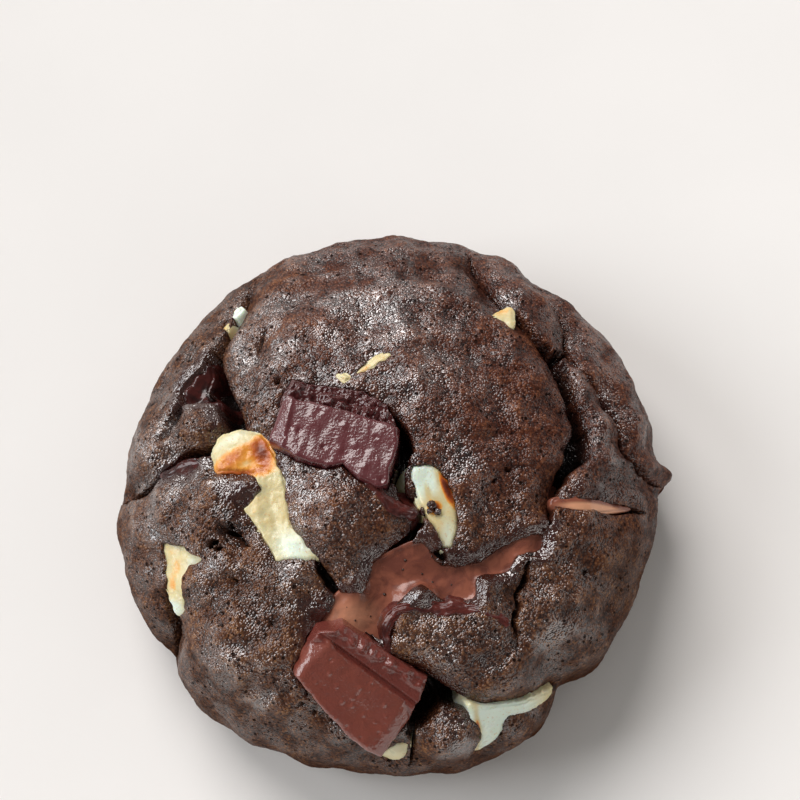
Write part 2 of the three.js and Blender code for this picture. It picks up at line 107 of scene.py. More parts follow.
# Cracks: a line of (x, y, half width), depth, how far the lips hang over, how ragged the lips are, and how
# far the dough rounds down beside them. Pairs are for the left and the right of the line.
CRACKS = {
    "left": ([(-27.5, 42, 0.2), (-30.5, 33.5, 0.4), (-32.3, 29.8, 0.8), (-33.2, 26.5, 1.6),
              (-33.2, 22.5, 2.3), (-32.0, 19.2, 2.3), (-30.6, 16.2, 2.2), (-29.4, 13.4, 2.4),
              (-28.2, 10.6, 2.3), (-26.8, 8.6, 1.4)],
             9, 0.4, (0.2, 0.5), (2.6, 0.8)),
    "left_hollow": ([(-33.8, 27.2, 0.7), (-35, 24.3, 1.8), (-36.2, 21.5, 2.8), (-37, 19.2, 2.8),
                     (-36, 18.2, 2.0)], 6.5, 0.3, 0.5, (0.3, 0.3)),
    "left_middle": ([(-40.2, 17, 0.8), (-41.4, 14.5, 1.0), (-42.6, 12.2, 0.6), (-44.5, 9.5, 0.2)],
                    4, 0.1, 0.4, (1.4, 0.4)),
    "left_low": ([(-57, 0.2, 0.4), (-52.6, 0.2, 0.9), (-49, 0.3, 1.2), (-46.5, 1.0, 1.5),
                  (-44.4, 2.4, 1.3), (-41.6, 4.4, 1.2), (-38, 6.2, 1.3), (-33.6, 6.2, 1.3),
                  (-30.5, 7.6, 1.0), (-28.2, 9.4, 1.1)],
                 5, 0.3, (0.5, 0.8), (2.0, 0.6)),
    "left_foot": ([(-42.9, -18.5, 0.3), (-42.6, -21, 1.5), (-42.8, -25, 1.7), (-45, -28, 1.4),
                   (-49, -32, 0.9), (-53, -36, 0.5)], 5, 0.3, 0.3, (1.6, 1.6)),
    "right": ([(17, 48, 0.2), (19, 40, 0.4), (21, 35.5, 0.5), (23.2, 31.5, 0.7), (26.5, 27.5, 1.1),
               (30.4, 23.6, 1.8), (32.6, 20, 2.5), (33.5, 16, 2.3), (34.2, 13, 1.9), (34.6, 9.8, 2.0),
               (34.9, 6.8, 2.6), (33, 3.2, 2.3), (31, -0.6, 1.6), (29.6, -5, 0.9), (28.8, -9, 0.5)],
              9, 0.6, (0.8, 0.3), (0.4, 2.6)),
    "right_join": ([(34.5, 24.5, 0.6), (32.5, 24.6, 0.9), (30.5, 22.5, 0.9)], 4, 0.1, 0.4, (1.2, 0.4)),
    "right_outer": ([(31, 45, 0.2), (33, 38, 0.3), (34.6, 32, 0.6), (34.3, 27, 0.9), (34.8, 24, 0.9),
                     (36.5, 22, 0.6), (40, 18, 0.8), (41.6, 14, 1.0), (43.4, 10, 0.7), (44.2, 6.5, 0.7),
                     (46, 3.5, 0.7), (50, 2.5, 0.6), (57, 2, 0.3)], 4.5, 0.3, 0.4, (1.8, 1.6)),
    "right_slab": ([(38.5, -6, 0.3), (42, -6, 0.7), (46, -5.2, 0.7), (50, -5, 0.3)], 3, 0.1, 0.3, (0, 0)),
    "short": ([(25.8, -14.6, 0.3), (24.6, -17.4, 0.4), (24.3, -20, 0.6), (23.1, -22.4, 0.45),
               (23.6, -25, 0.75), (22.5, -27.6, 0.6), (22.9, -29.8, 0.45), (22, -32, 0.2)],
              3, 0.1, 0.5, (1.3, 1.1)),
    "front": ([(0.5, -33, 0.3), (4, -35.5, 0.9), (7.5, -38.3, 2.0), (10, -40.4, 2.4), (14, -41.9, 1.6),
               (18, -42.3, 1.3), (23, -42.3, 1.2), (29, -42.6, 1.0), (37, -44, 0.5)],
              7, 0.5, 0.35, (2.4, 1.6)),
    "front_hollow": ([(5, -38, 1.2), (6.6, -41, 2.6), (5, -44, 2.1), (3, -46.5, 1.2)],
                     7, 0.4, 0.5, (1.8, 0.6)),
    "chunk_side": ([(1.2, 9.5, 0.6), (2.6, 7, 1.4), (2.9, 4, 1.6), (2.2, 1, 1.3), (1.7, -1.5, 1.3),
                    (2.2, -4, 1.2), (4, -6.5, 1.3), (5.4, -9.5, 0.9)], 8, 0.4, 0.5, (0.8, 0.8)),
    "tongue": ([(5, -8, 0.8), (3.5, -11.5, 1.0), (0.5, -13.8, 0.9), (-1.8, -16.2, 0.9), (-3.6, -19.6, 0.7)],
               5, 0.2, 0.5, (0.4, 1.6)),
    "chunk_foot": ([(-23, 4, 0.6), (-20.5, 1.5, 1.0), (-18.6, -1.5, 0.7)], 4, 0.2, 0.3, (0.5, 0.5)),
    "tongue_left": ([(-12.8, -15.2, 0.5), (-12.2, -17, 1.0), (-11, -19.2, 1.1), (-9.4, -21.4, 0.8)],
                    4, 0.2, 0.4, (1.8, 0.8)),
    "shelf": ([(-30.2, -8, 0.2), (-28.4, -9.4, 0.6), (-27, -10, 0.4), (-26, -11.6, 0.5), (-24.6, -12.4, 0.2)],
              2.2, 0.1, 0.4, (0.2, 1.6)),
    "ball_left": ([(3.6, -46.4, 0.7), (3.6, -48.6, 0.6), (3.4, -51.5, 0.4), (3.2, -55, 0.2)], 3, 0.1, 0.3,
                  (1.6, 0.2)),
    "creases": ([(-22, 29, 0.2), (-23.2, 26.5, 0.3), (-24, 23.5, 0.2)], 0.9, 0, 0.2, (0, 0)),
}

# Holes where gas broke the skin: place, radius and depth.
HOLES = np.array([
    (-31.3, -11.4, 1.0, 3.0), (-30.3, -12.4, 0.7, 2.0), (-28.0, -8.6, 0.7, 1.6), (-26.6, -9.8, 0.5, 1.2),
    (-28, -18.5, 0.6, 1.2), (-23.5, -9.5, 0.4, 0.8), (21, 0.5, 0.7, 1.0), (18.5, -1.5, 0.6, 0.9),
    (8.6, -14.6, 1.3, 3.5), (-16.5, -40.5, 0.7, 1.2), (-14.5, -42.5, 0.6, 1.0), (-15.5, -38.6, 0.5, 1.0),
    (24.5, -13.0, 0.6, 1.2), (-19.5, 17.5, 0.7, 1.4), (-17.6, 19.3, 0.5, 1.0), (12.5, 3.5, 0.4, 0.6),
    (-35.2, 30.5, 0.5, 1.0), (-30, -24, 0.5, 1.0), (-21, -26, 0.5, 0.9), (36, -18, 0.6, 1.0),
])


class Sheet(NamedTuple):
    """Chocolate that shows in an opening of the crust."""

    outline: list
    top: float  # lift of its top
    underside: float  # lift of its underside
    rounding: float = 0.4  # how far its edge is rounded
    meniscus: float = 0.0  # how far it climbs at its edge
    rough: float = 0.1  # how high its unevenness is
    slot: str = "white_chocolate"


SHEETS = {
    "milk_pool": Sheet([
        (-13.5, -27.5), (-11, -24), (-9, -21), (-5, -21), (-3, -16), (0.5, -14), (5.5, -12.5), (8, -15.5),
        (12, -16.8), (16, -16), (19.5, -13.5), (28, -11), (27.5, -13.5), (22.5, -15), (21.5, -17.5),
        (15.5, -19.2), (15, -22), (12.5, -23), (9, -22.5), (5.5, -19.8), (1.5, -22.5), (-0.5, -25),
        (-1.5, -29.5), (-5.5, -28), (-9.5, -27.5),
    ], top=-2.7, underside=-6, rounding=0, meniscus=0.4, rough=0.05, slot="milk_chocolate"),
    "white_chunk_left": Sheet([
        (-32, 5), (-30.5, 8), (-26.5, 9), (-23, 8), (-20, 3), (-18.5, -1), (-17.5, -9), (-12.5, -15),
        (-16, -14.8), (-20.5, -15), (-23.5, -9), (-26, -5.5), (-22.7, -2.5), (-23.5, 0.5), (-26.5, 1.5),
        (-30.5, 1.8),
    ], top=-0.8, underside=-5.5, rough=0.16),
    "white_chunk_far_left": Sheet([
        (-42.3, -10), (-38.6, -10.9), (-33.3, -13.8), (-36.6, -15.2), (-37.9, -19), (-39.2, -24),
        (-40.8, -24.2), (-41.0, -21), (-42, -18.5), (-42.2, -14),
    ], top=-1, underside=-5, rounding=0.2, rough=0.14),
    "white_chunk_right": Sheet([
        (4.2, 1), (7.6, 1.4), (10.2, -1.3), (11.6, -5.2), (12, -10), (11, -14), (9.2, -13.6), (7.8, -10.8),
        (5.4, -6), (3.8, -1.5),
    ], top=-0.5, underside=-5, rounding=0.9),
    "white_bit": Sheet([
        (-8.8, 17.6), (-7.6, 18.1), (-6.7, 17.3), (-7.4, 16.6), (-8.4, 16.8),
    ], top=0, underside=-3, rough=0.08),
    "white_streak": Sheet([
        (-5.6, 18.1), (-3.8, 19.7), (-1.8, 21.0), (0.2, 21.9), (0.7, 21.2), (-1.5, 19.9), (-3.8, 18.5),
        (-5.2, 17.7),
    ], top=-0.35, underside=-2.5, rounding=0.2),
    "white_shard": Sheet([
        (19.2, 30.4), (21.2, 31.2), (22.4, 32.4), (22.8, 30.5), (22.4, 28.5), (20.8, 29.3),
    ], top=-0.5, underside=-3.5, rounding=0.2),
    "white_bead": Sheet([
        (-30.2, 36.8), (-29.3, 38.0), (-28.3, 37.0), (-28.9, 35.5), (-29.8, 35.7),
    ], top=-0.6, underside=-3.5, rough=0.05),
    "white_bead_low": Sheet([
        (-32.8, 34.3), (-31.6, 35.2), (-30.9, 34.2), (-31.5, 33.0), (-32.4, 33.2),
    ], top=-1.2, underside=-3.5, rough=0.05),
    "milk_slab_right": Sheet([
        (29.6, -4.8), (32, -4.3), (36, -4.1), (41, -4.1), (46, -4.6), (43, -5.4), (38, -6.2), (32.5, -6.3),
        (30.2, -5.9),
    ], top=-0.6, underside=-4.5, rounding=0.2, rough=0.06, slot="milk_chocolate"),
    "dark_chunk_left": Sheet([
        (-35, 27), (-36.6, 24.6), (-38.6, 23.2), (-40.2, 21.2), (-41.2, 19.2), (-40.4, 17), (-37, 16.2),
        (-34.2, 15.8), (-32.4, 15.2), (-32.2, 16), (-33.4, 17.6), (-35.8, 18.8), (-36.2, 20.6),
        (-35.2, 23.6),
    ], top=-3.4, underside=-9.3, meniscus=0.1, rough=0.2, slot="dark_chocolate"),
    "dark_seam_left": Sheet([
        (-43.4, 3.1), (-41.4, 3.4), (-38.8, 4.6), (-36.4, 4.8), (-34.8, 4.2), (-34.6, 3.4), (-36.2, 2.7),
        (-38.0, 2.0), (-39.6, 2.5), (-41.8, 2.2),
    ], top=-1.3, underside=-4.2, rounding=0.2, meniscus=0.2, rough=0.14, slot="dark_chocolate"),
    "white_melt_front": Sheet([
        (14.0, -41.2), (17, -42), (23.2, -41.8), (26.5, -41.8), (30.5, -42.5), (35, -43.6), (35, -44.6),
        (30.5, -43.8), (26.7, -43.4), (23.5, -43.4), (21.8, -44), (21, -44.8), (20.6, -46.2), (20.3, -48),
        (19.8, -50), (18.8, -52), (17.8, -53.6), (16.8, -53.2), (17.2, -50.5), (17.3, -48.5), (16.9, -46.5),
        (15.8, -44.6), (14.6, -43),
    ], top=-1.1, underside=-4.5, rounding=0.3, meniscus=0.3, rough=0.08),
    "white_chip_front": Sheet([
        (-3.2, -54.8), (-2, -52.6), (-0.6, -50.8), (1, -49.4), (2.2, -48.8), (2.8, -49.6), (2.7, -51),
        (2.3, -52.8), (1.2, -54.4), (-0.8, -55.2),
    ], top=-1, underside=-4.5),
}

# Bar pieces: seat on the map, yaw, dip and lean in degrees, outlines and heights in the seat's own frame.
BARS = {
    "dark_chunk": {
        "seat": ((-9, 6.5), -17, 5, 0),
        "face": [(-11, 4.5), (-0.5, 4.6), (10.3, 4.2), (11.2, 0), (11.2, -6.8), (9.5, -7.6), (6, -7),
                 (2.8, -5.2), (0, -6.4), (-5.5, -6.2), (-11.3, -4.3)],
        "ledge": [(-11.6, 3), (-10.8, 8), (-7, 8), (-2.8, 8.6), (2.5, 9), (6.8, 7.8), (9.9, 4.5), (9, 0)],
        "face_high": 1.6, "ledge_high": 0.4, "low": -6.5, "rounding": 0.8, "slot": "dark_chocolate",
    },
    "milk_chunk": {
        "seat": ((-5.5, -39), -45, 3, 6),
        "face": [(-11.8, -4.8), (-13.2, 1.5), (-12, 4), (-5.3, 3.4), (1, 3.6), (6.5, 3.8), (9.4, 1.6),
                 (10, -7), (7, -7.7), (2.5, -7.5), (-1.5, -6.8)],
        "ledge": [(-13.3, 1), (-13.3, 4), (-10.5, 7.5), (-5.5, 8.2), (0, 8.3), (7.2, 9.2), (8.6, 5),
                  (9.4, 1.6), (0, -2)],
        "face_high": 2.3, "ledge_high": 1.8, "low": -7, "rounding": 1.0, "slot": "milk_chocolate",
    },
}

# Trails of melted chocolate on the dough: a line of (x, y, half width), the lifts of its top and underside,
# and the node that it stands for.
TRAILS = {
    "dark_trail": ([(-0.7, -31.6, 0.2), (-1.0, -28.8, 0.3), (-0.6, -26.4, 0.4), (0.8, -24.8, 0.5),
                    (3.4, -24.2, 0.3), (6.4, -24.3, 0.7), (9.4, -24.4, 0.9), (12.6, -24.4, 0.7),
                    (15.6, -24.8, 0.4), (18, -25.6, 0.4), (20.6, -27, 0.2)], 0.1, -2.0, "dark_smear"),
    "dark_tail": ([(-3.4, -2.6, 0.5), (-2, -3.9, 0.7), (-0.8, -5.2, 0.5), (0.6, -6.4, 0.8), (2.2, -7.1, 0.6),
                   (3.8, -7.6, 0.3)], 0.25, -2.0, None),
}

# Moist, chocolate-stained dough, and dark places beside cracks and lobes where shade is painted: place, half
# length along and across, turn in degrees, and amount.
WET_AND_SHADE = [
    (4.2, -8, 1.6, 4, 10, 0.8), (0.5, -15.5, 2.6, 1.6, 30, 0.9), (-3.4, -19.5, 1.8, 2.4, 0, 0.9),
    (3.5, -21.8, 3.6, 2.0, -15, 1.0), (-0.6, -25, 1.3, 3.4, 0, 0.9), (1.5, -1, 2.2, 6, 0, 0.9),
    (-37.6, 21.5, 3.2, 1.8, 40, 1.0), (-31.5, 13.5, 2.4, 3.4, 10, 0.9), (-41.5, 3.2, 2.6, 1.6, 25, 0.8),
    (-20, 1.5, 2.0, 3.0, 0, 0.5), (38, -2.6, 7, 1.4, 0, 0.7), (28, -8.5, 2.0, 3.0, 0, 0.7),
    (-23, 1.6, 3.0, 1.8, 0, 0.6), (-26.5, -2.6, 4.2, 2.4, -10, 0.9), (-15.2, -25.5, 1.8, 5, 8, 0.6),
    (15.5, -18.6, 4, 1.2, 10, 0.6), (10.5, -15.5, 4, 1.2, 10, 0.6), (17.5, -21.5, 3.5, 2.2, -20, 0.45),
    (8, -28, 9, 2.6, 0, -1.2), (10, -39, 6, 3.0, -35, 0.7), (-23.5, 5.5, 1.4, 2.5, 20, 0.4),
    (6.0, 13.5, 4, 1.2, -20, 0.3), (-12, -22, 3, 1.2, 40, 0.4), (8.8, -13.6, 1.6, 1.6, 0, 0.7),
    (40, 13, 1.4, 9, -18, 0.35), (33, 12, 1.4, 10, 0, 0.5), (20.5, -46, 3, 2, -20, 0.5),
]

# Risen places on the sheets of chocolate, laid out like the lobes.
RISEN = {
    "white_chunk_left": [(-27, 5, 5, 5, 0, 2.2), (-23.2, -7, 0.9, 6, 12, 0.35),
                         (-20.3, -8, 0.8, 5, 14, -0.4)],
    "dark_chunk_left": [(-39.6, 20.2, 1.5, 2.2, 0, 2.4), (-37.6, 23.2, 1.6, 1.3, 40, 2.0),
                        (-36, 16.6, 5, 0.9, 0, 1.2), (-35.6, 25.4, 1.2, 1.2, 0, 1.6)],
    "milk_pool": [(24.5, -12.8, 4.5, 2.5, 20, 1.0), (-8, -25, 4, 4, 0, 0.7)],
}

# How far the dough rounds down beside a sheet, and how widely.
ROLL = {
    "milk_pool": 1.5, "white_melt_front": 1.2, "dark_chunk_left": 0.6, "dark_seam_left": 0.9,
    "white_chunk_left": 0.7, "white_chip_front": 0.8,
}
ROLL_PLAIN, ROLL_WIDTH = 0.3, 1.3

# How strongly a sheet's chocolate has stained the dough beside it, and how widely.
STAIN = {"milk_pool": 1.1, "dark_chunk_left": 1.0, "dark_seam_left": 0.9, "white_chunk_left": 0.3}
STAIN_WIDTH = 1.9

# Oily places on the skin, laid out like the lobes, over a plain amount.
OILY = [
    (-3, 27, 13, 9, 0, 0.65), (5, 17, 4, 8, 25, 0.45), (-20, 27, 7, 6, 30, 0.4), (-27.5, 23, 4, 8, 0, 0.8),
    (-13, -5, 5, 8, 0, 0.6), (13, -1, 4, 5, 0, 0.4), (6, -29.5, 7, 4, -10, 0.7), (28.5, -28, 6, 5, 0, 0.5),
    (-25, -31, 8, 5, 30, 0.35), (-22.5, -40, 4, 3, 0, 0.5), (-42.5, 12, 3, 6, 0, 0.6),
    (22, 35, 3, 4, -30, 0.6), (36, 5, 4, 3, 0, 0.6), (12, -46.5, 4, 4, 0, 0.4), (-36, 2, 6, 5, 0, 0.4),
    (-16, -18, 5, 5, 0, 0.4), (38, 20, 3, 6, 10, 0.3), (-46, 3, 5, 12, 0, 0.6), (26, 12, 8, 22, 0, -0.2),
    (46, -18, 8, 18, 0, -0.3), (-32, -14, 8, 8, 0, 0.2),
]
OILY_PLAIN = 0.43

# Toasted places on white chocolate, laid out like the lobes, and painted light and shade on milk chocolate.
# The pool is painted paler where light falls on its left, and the slab's broken edge, which is also paler of
# itself, carries a painted highlight. Where the amount is less than nothing, white chocolate is a cooler,
# paler cream, partly painted light on pieces that lie in shade, and milk chocolate is darker as painted shade
# on the pool's middle.
TOAST_AND_LIGHT = [
    (-28.2, 3.3, 5.0, 1.9, 32, 0.42), (-22.4, 4.2, 1.9, 3.4, 12, 0.7), (-26.5, 0.7, 4.2, 1.0, 4, 0.55),
    (-28.6, 7.2, 5.4, 1.5, 26, -0.45), (-24.4, -6.0, 0.9, 5, 14, 0.12), (-21.6, -3.6, 1.4, 1.4, 30, 0.08),
    (-20.4, -5.4, 1.0, 1.4, 0, 0.08), (-22.6, -10.0, 1.0, 2.6, 14, 0.14), (-17.0, -13.0, 4, 3, -30, -0.6),
    (-39.4, -11.9, 1.8, 0.9, 0, 0.14), (-39.3, -14.6, 1.5, 1.8, 20, 0.26), (-40.2, -18.4, 1.0, 2.6, 5, 0.24),
    (-41.3, -15.5, 0.5, 4.0, 0, 0.06), (-41, -22.5, 2, 2, 0, -0.8), (-36, -14.5, 2, 1.5, 0, -0.4),
    (6.6, -3.4, 0.5, 2.0, 15, 0.6), (7.9, -6.4, 1.3, 1.2, 40, 0.95), (9.9, -2.8, 0.8, 3.4, 22, 1.1),
    (5.6, -1, 3, 4, 20, -0.9), (10, -11, 1.4, 3, 0, -0.4), (-7, -25, 8, 6, 0, 0.42),
    (5, -17, 8, 3.4, 0, -0.5), (-3.6, 19.2, 1.4, 0.5, 38, 0.3), (20, -43, 9, 2.5, 0, -0.9),
    (19, -49, 3, 5, 0, -0.8), (0, -51, 5, 5, 0, -0.25), (-29.5, 37, 3, 3, 0, -0.9), (-32, 34, 2, 2, 0, 0.3),
    (38, -5.6, 7.5, 1.0, 0, 1.0), (15.7, -46.3, 0.5, 4.0, 10, 1.4), (34, -43.4, 4, 0.8, -15, 0.1),
    (-29, 5.6, 4, 3, 30, 0.1), (20.4, 31.4, 2.4, 1.2, 20, 0.26),
]

# Crumbs: place, lift over the dough (or over its swell, on chocolate), and size.
CRUMBS = np.array([
    (7.4, -6.2, -0.2, 1.5), (8.3, -7.3, -0.2, 1.2), (6.9, -7.2, -0.3, 0.9), (-1.2, -21.4, -2.6, 0.5),
    (2.1, -17.0, -2.65, 0.35), (2.6, -15.4, -2.65, 0.4), (5.6, -17.8, -2.65, 0.3), (-6.5, -26.0, -2.1, 0.35),
    (-3.8, -25.4, -2.45, 0.3), (-7.9, -23.6, -2.1, 0.25), (7.4, -19.3, -2.65, 0.3),
    (10.8, -19.8, -2.65, 0.25), (20.6, -46.0, -0.95, 1.0), (20.9, -18.8, 0.1, 0.7), (22.0, -17.6, 0.1, 0.9),
    (23.5, -16.9, 0.1, 0.6), (25.2, -15.6, 0.1, 0.7), (21.4, -20.3, 0.1, 0.8), (-20.6, 19.8, 0.1, 0.5),
    (37.5, 24.6, 0.1, 0.9), (36.8, 19.0, 0.1, 0.6), (-39.2, 9.6, 0.1, 0.7), (-37.6, 11.5, 0.1, 0.5),
    (46.5, -2.4, 0.1, 0.7),
])


# ---- Noise, lines and grids, worked out as whole arrays ----

# A shuffled row of whole numbers and a slope for each, which give every lattice cell its own.
RANDOM = np.random.default_rng(11)
SHUFFLE = RANDOM.permutation(256)
SLOPES = RANDOM.normal(size=(256, 3))
SLOPES /= np.linalg.norm(SLOPES, axis=1, keepdims=True)
CORNERS = list(itertools.product((0, 1), repeat=3))


def picked(cell):
    """A whole number from 0 to 255 for each lattice cell, the same for the same cell."""
    a = SHUFFLE[cell[..., 0] & 255]
    b = SHUFFLE[(a + cell[..., 1]) & 255]
    return SHUFFLE[(b + cell[..., 2]) & 255]


def drift(points, size, seed=0):
    """Gradient noise, about -1 to 1: at each lattice corner a random slope times the way from that corner,
    mixed with the weights 6t^5 - 15t^4 + 10t^3 along each axis. size is the width of a lattice cell."""
    place = np.asarray(points, float) / size + 17.3 * seed
    cell = np.floor(place).astype(int)
    part = place - cell
    weight = part ** 3 * (part * (part * 6 - 15) + 10)
    total = np.zeros(len(place))
    for corner in CORNERS:
        share = np.prod(np.where(corner, weight, 1 - weight), axis=1)
        total += share * np.sum(SLOPES[picked(cell + corner)] * (part - corner), axis=1)
    return 1.7 * total


def layered(points, size, layers, seed=0):
    """Gradient noise summed over layers, each half as wide and 0.55 times as high as the last."""
    return sum(0.55 ** k * drift(points, size / 2 ** k, seed + k) for k in range(layers))


def beads(points, size, seed=0):
    """Distance to the nearest of one random point per lattice cell, in cells: round grains side by side."""
    place = np.asarray(points, float) / size + 9.7 * seed
    cell = np.floor(place).astype(int)
    nearest = np.full(len(place), 9.0)
    for step in itertools.product((-1, 0, 1), repeat=3):
        there = cell + step
        grain = there + 0.5 + 0.42 * SLOPES[picked(there)]
        nearest = np.minimum(nearest, np.linalg.norm(place - grain, axis=1))
    return nearest


def ease(value, low, high):
    """0 below low, 1 above high, and 3t^2 - 2t^3 between them."""
    t = np.clip((value - low) / (high - low), 0, 1)
    return t * t * (3 - 2 * t)


def flat3(x, y, z=0.0):
    """Rows of (x, y, z), where any of the three may be one number for all rows."""
    return np.stack(np.broadcast_arrays(x, y, z), axis=-1).astype(float)


def humps(table, x, y):
    """The sum of rise * exp(-along^2 - across^2) over the rows (x, y, length, width, turn, rise)."""
    total = np.zeros(np.shape(x))
    for at_x, at_y, long, wide, turn, rise in table:
        c, s = math.cos(math.radians(turn)), math.sin(math.radians(turn))
        along = ((x - at_x) * c + (y - at_y) * s) / long
        across = ((y - at_y) * c - (x - at_x) * s) / wide
        total += rise * np.exp(-along ** 2 - across ** 2)
    return total


def smooth_line(points, step, closed=False):
    """A centripetal Catmull-Rom curve through the rows of points, sampled about every step. All columns are
    carried, and the first two set the spacing of the knots, which is the root of the distance."""
    p = np.asarray(points, float)
    p = np.vstack([p[-1:], p, p[:2]]) if closed else np.vstack([2 * p[0] - p[1], p, 2 * p[-1] - p[-2]])
    gaps = np.linalg.norm(np.diff(p[:, :2], axis=0), axis=1)
    knot = np.concatenate([[0], np.cumsum(np.sqrt(gaps))])
    spans = []
    for i in range(1, len(p) - 2):
        count = max(2, math.ceil(gaps[i] / step))
        s = (knot[i] + (knot[i + 1] - knot[i]) * np.arange(count) / count)[:, None]

        def blend(a, b, low, high):
            return (a * (knot[high] - s) + b * (s - knot[low])) / (knot[high] - knot[low])

        first = blend(p[i - 1], p[i], i - 1, i)
        middle = blend(p[i], p[i + 1], i, i + 1)
        last = blend(p[i + 1], p[i + 2], i + 1, i + 2)
        spans.append(blend(blend(first, middle, i - 1, i + 1), blend(middle, last, i, i + 2), i, i + 1))
    if not closed:
        spans.append(p[-2:-1])
    return np.vstack(spans)


def nearest_on(line, x, y, closed=False):
    """The nearest place on a line of segments to each point: how far it is, the way from it to the point as
    a unit vector, how far along the line it lies, the side (1 to the left), the line's own values there, and
    the length of the whole line."""
    ends = np.roll(line, -1, axis=0) if closed else line[1:]
    starts = line if closed else line[:-1]
    far = np.full(len(x), np.inf)
    way = np.zeros((len(x), 2))
    run = np.zeros(len(x))
    side = np.ones(len(x))
    values = np.zeros((len(x), line.shape[1] - 2))
    passed = 0.0
    for a, b in zip(starts, ends):
        dx, dy = b[0] - a[0], b[1] - a[1]
        length = math.hypot(dx, dy)
        t = np.clip(((x - a[0]) * dx + (y - a[1]) * dy) / length ** 2, 0, 1)
        off_x, off_y = x - a[0] - t * dx, y - a[1] - t * dy
        here = np.hypot(off_x, off_y)
        better = here < far
        far[better] = here[better]
        way[better] = np.stack([off_x, off_y], 1)[better]
        run[better] = passed + t[better] * length
        side[better] = np.sign(dx * off_y - dy * off_x)[better]
        if values.shape[1]:
            values[better] = a[2:] + t[better, None] * (b[2:] - a[2:])
        passed += length
    way /= np.maximum(far, 1e-9)[:, None]
    return far, way, run, side, values, passed


def inside(loop, x, y):
    """True for points within a closed line: a ray from the point crosses it an odd number of times."""
    odd = np.zeros(len(x), bool)
    for (ax, ay), (bx, by) in zip(loop[:, :2], np.roll(loop[:, :2], -1, axis=0)):
        if ay != by:
            odd ^= ((ay > y) != (by > y)) & (x < (bx - ax) * (y - ay) / (by - ay) + ax)
    return odd


def to_edge(loop, x, y):
    """Signed distance to a closed line, less than nothing within it, the way out, and the run along it."""
    far, way, run, *_ = nearest_on(loop, x, y, closed=True)
    sign = np.where(inside(loop, x, y), -1.0, 1.0)
    return sign * far, sign[:, None] * way, run


def pressed_disc(cells):
    """A square grid of cells pressed into a disc ring by ring. With ring = max(|u|, |v|), a point of the
    square keeps its ring and gets the bearing pi/4 * v/u, counted from its own side of the square."""
    u, v = np.meshgrid(np.linspace(-1, 1, cells + 1), np.linspace(-1, 1, cells + 1))
    u, v = u.ravel(), v.ravel()
    wide = np.abs(u) >= np.abs(v)
    main, other = np.where(wide, u, v), np.where(wide, v, u)
    lean = np.pi / 4 * other / np.where(main == 0, 1, main)
    bearing = np.where(wide, lean, np.pi / 2 - lean) + np.where(main < 0, np.pi, 0)
    index = np.arange((cells + 1) ** 2).reshape(cells + 1, cells + 1)
    quads = np.stack([index[:-1, :-1], index[:-1, 1:], index[1:, 1:], index[1:, :-1]], -1).reshape(-1, 4)
    rim = np.concatenate([index[0, :-1], index[:-1, -1], index[-1, :0:-1], index[:0:-1, 0]])
    return np.abs(main), bearing, quads, rim


def closed_below(points, quads, rim, middle, marks):
    """A disc with one more point below it, the fan of triangles that closes the rim to that point, and the
    marks of its points with 0 for the last."""
    fan = np.stack([np.roll(rim, -1), rim, np.full(len(rim), len(points))], -1)
    marks = {name: np.append(values, 0) for name, values in marks.items()}
    return np.vstack([points, middle]), (quads, fan), marks


def reach_of(loops, bearing, centre):
    """How far a ray from the centre goes before it leaves the last of the closed lines: the largest r with
    centre + r (cos b, sin b) on one of their segments."""
    c, s = np.cos(bearing), np.sin(bearing)
    reach = np.zeros(len(bearing))
    for loop in loops:
        a = loop[:, :2] - centre
        for (ax, ay), (bx, by) in zip(a, np.roll(a, -1, axis=0)):
            ex, ey = bx - ax, by - ay
            turn = ex * s - ey * c
            turn = np.where(np.abs(turn) < 1e-9, 1e-9, turn)
            r, t = (ex * ay - ax * ey) / turn, (c * ay - s * ax) / turn
            reach = np.where((t >= -1e-6) & (t <= 1 + 1e-6) & (r > reach), r, reach)
    return reach


# ---- The crust's form ----

# The section's widest radius, the crown's height, the height of the widest place, and the base's radius.
RADIUS, HEIGHT, WAIST, BASE_RADIUS = 50.0, 36.0, 13.0, 44.0
CROWN = 12.0  # the radius within which the rim's waviness no longer tells
BASE_FADE = 7.0  # how far above the base the relief dies out
SECTION_STEPS = 400


def section():
    """The plain section from crown to base. With side = sin(turn) and rise = |cos(turn)|: above the waist
    r = 50 side^0.84 and z = 13 + 23 rise^0.92, and below it r = 44 + 6 side^0.9 and z = 13 - 13 rise^0.9."""
    step = np.arange(SECTION_STEPS + 1)
    turn = np.pi * step / SECTION_STEPS
    side, rise = np.abs(np.sin(turn)), np.abs(np.cos(turn))
    upper = step <= SECTION_STEPS / 2
    r = np.where(upper, RADIUS * side ** 0.84, BASE_RADIUS + (RADIUS - BASE_RADIUS) * side ** 0.9)
    z = np.where(upper, WAIST + (HEIGHT - WAIST) * rise ** 0.92, WAIST - WAIST * rise ** 0.9)
    arc = np.concatenate([[0], np.cumsum(np.hypot(np.diff(r), np.diff(z)))])
    return r, z, arc


SECTION_R, SECTION_Z, SECTION_ARC = section()
REACH = SECTION_ARC[-1]


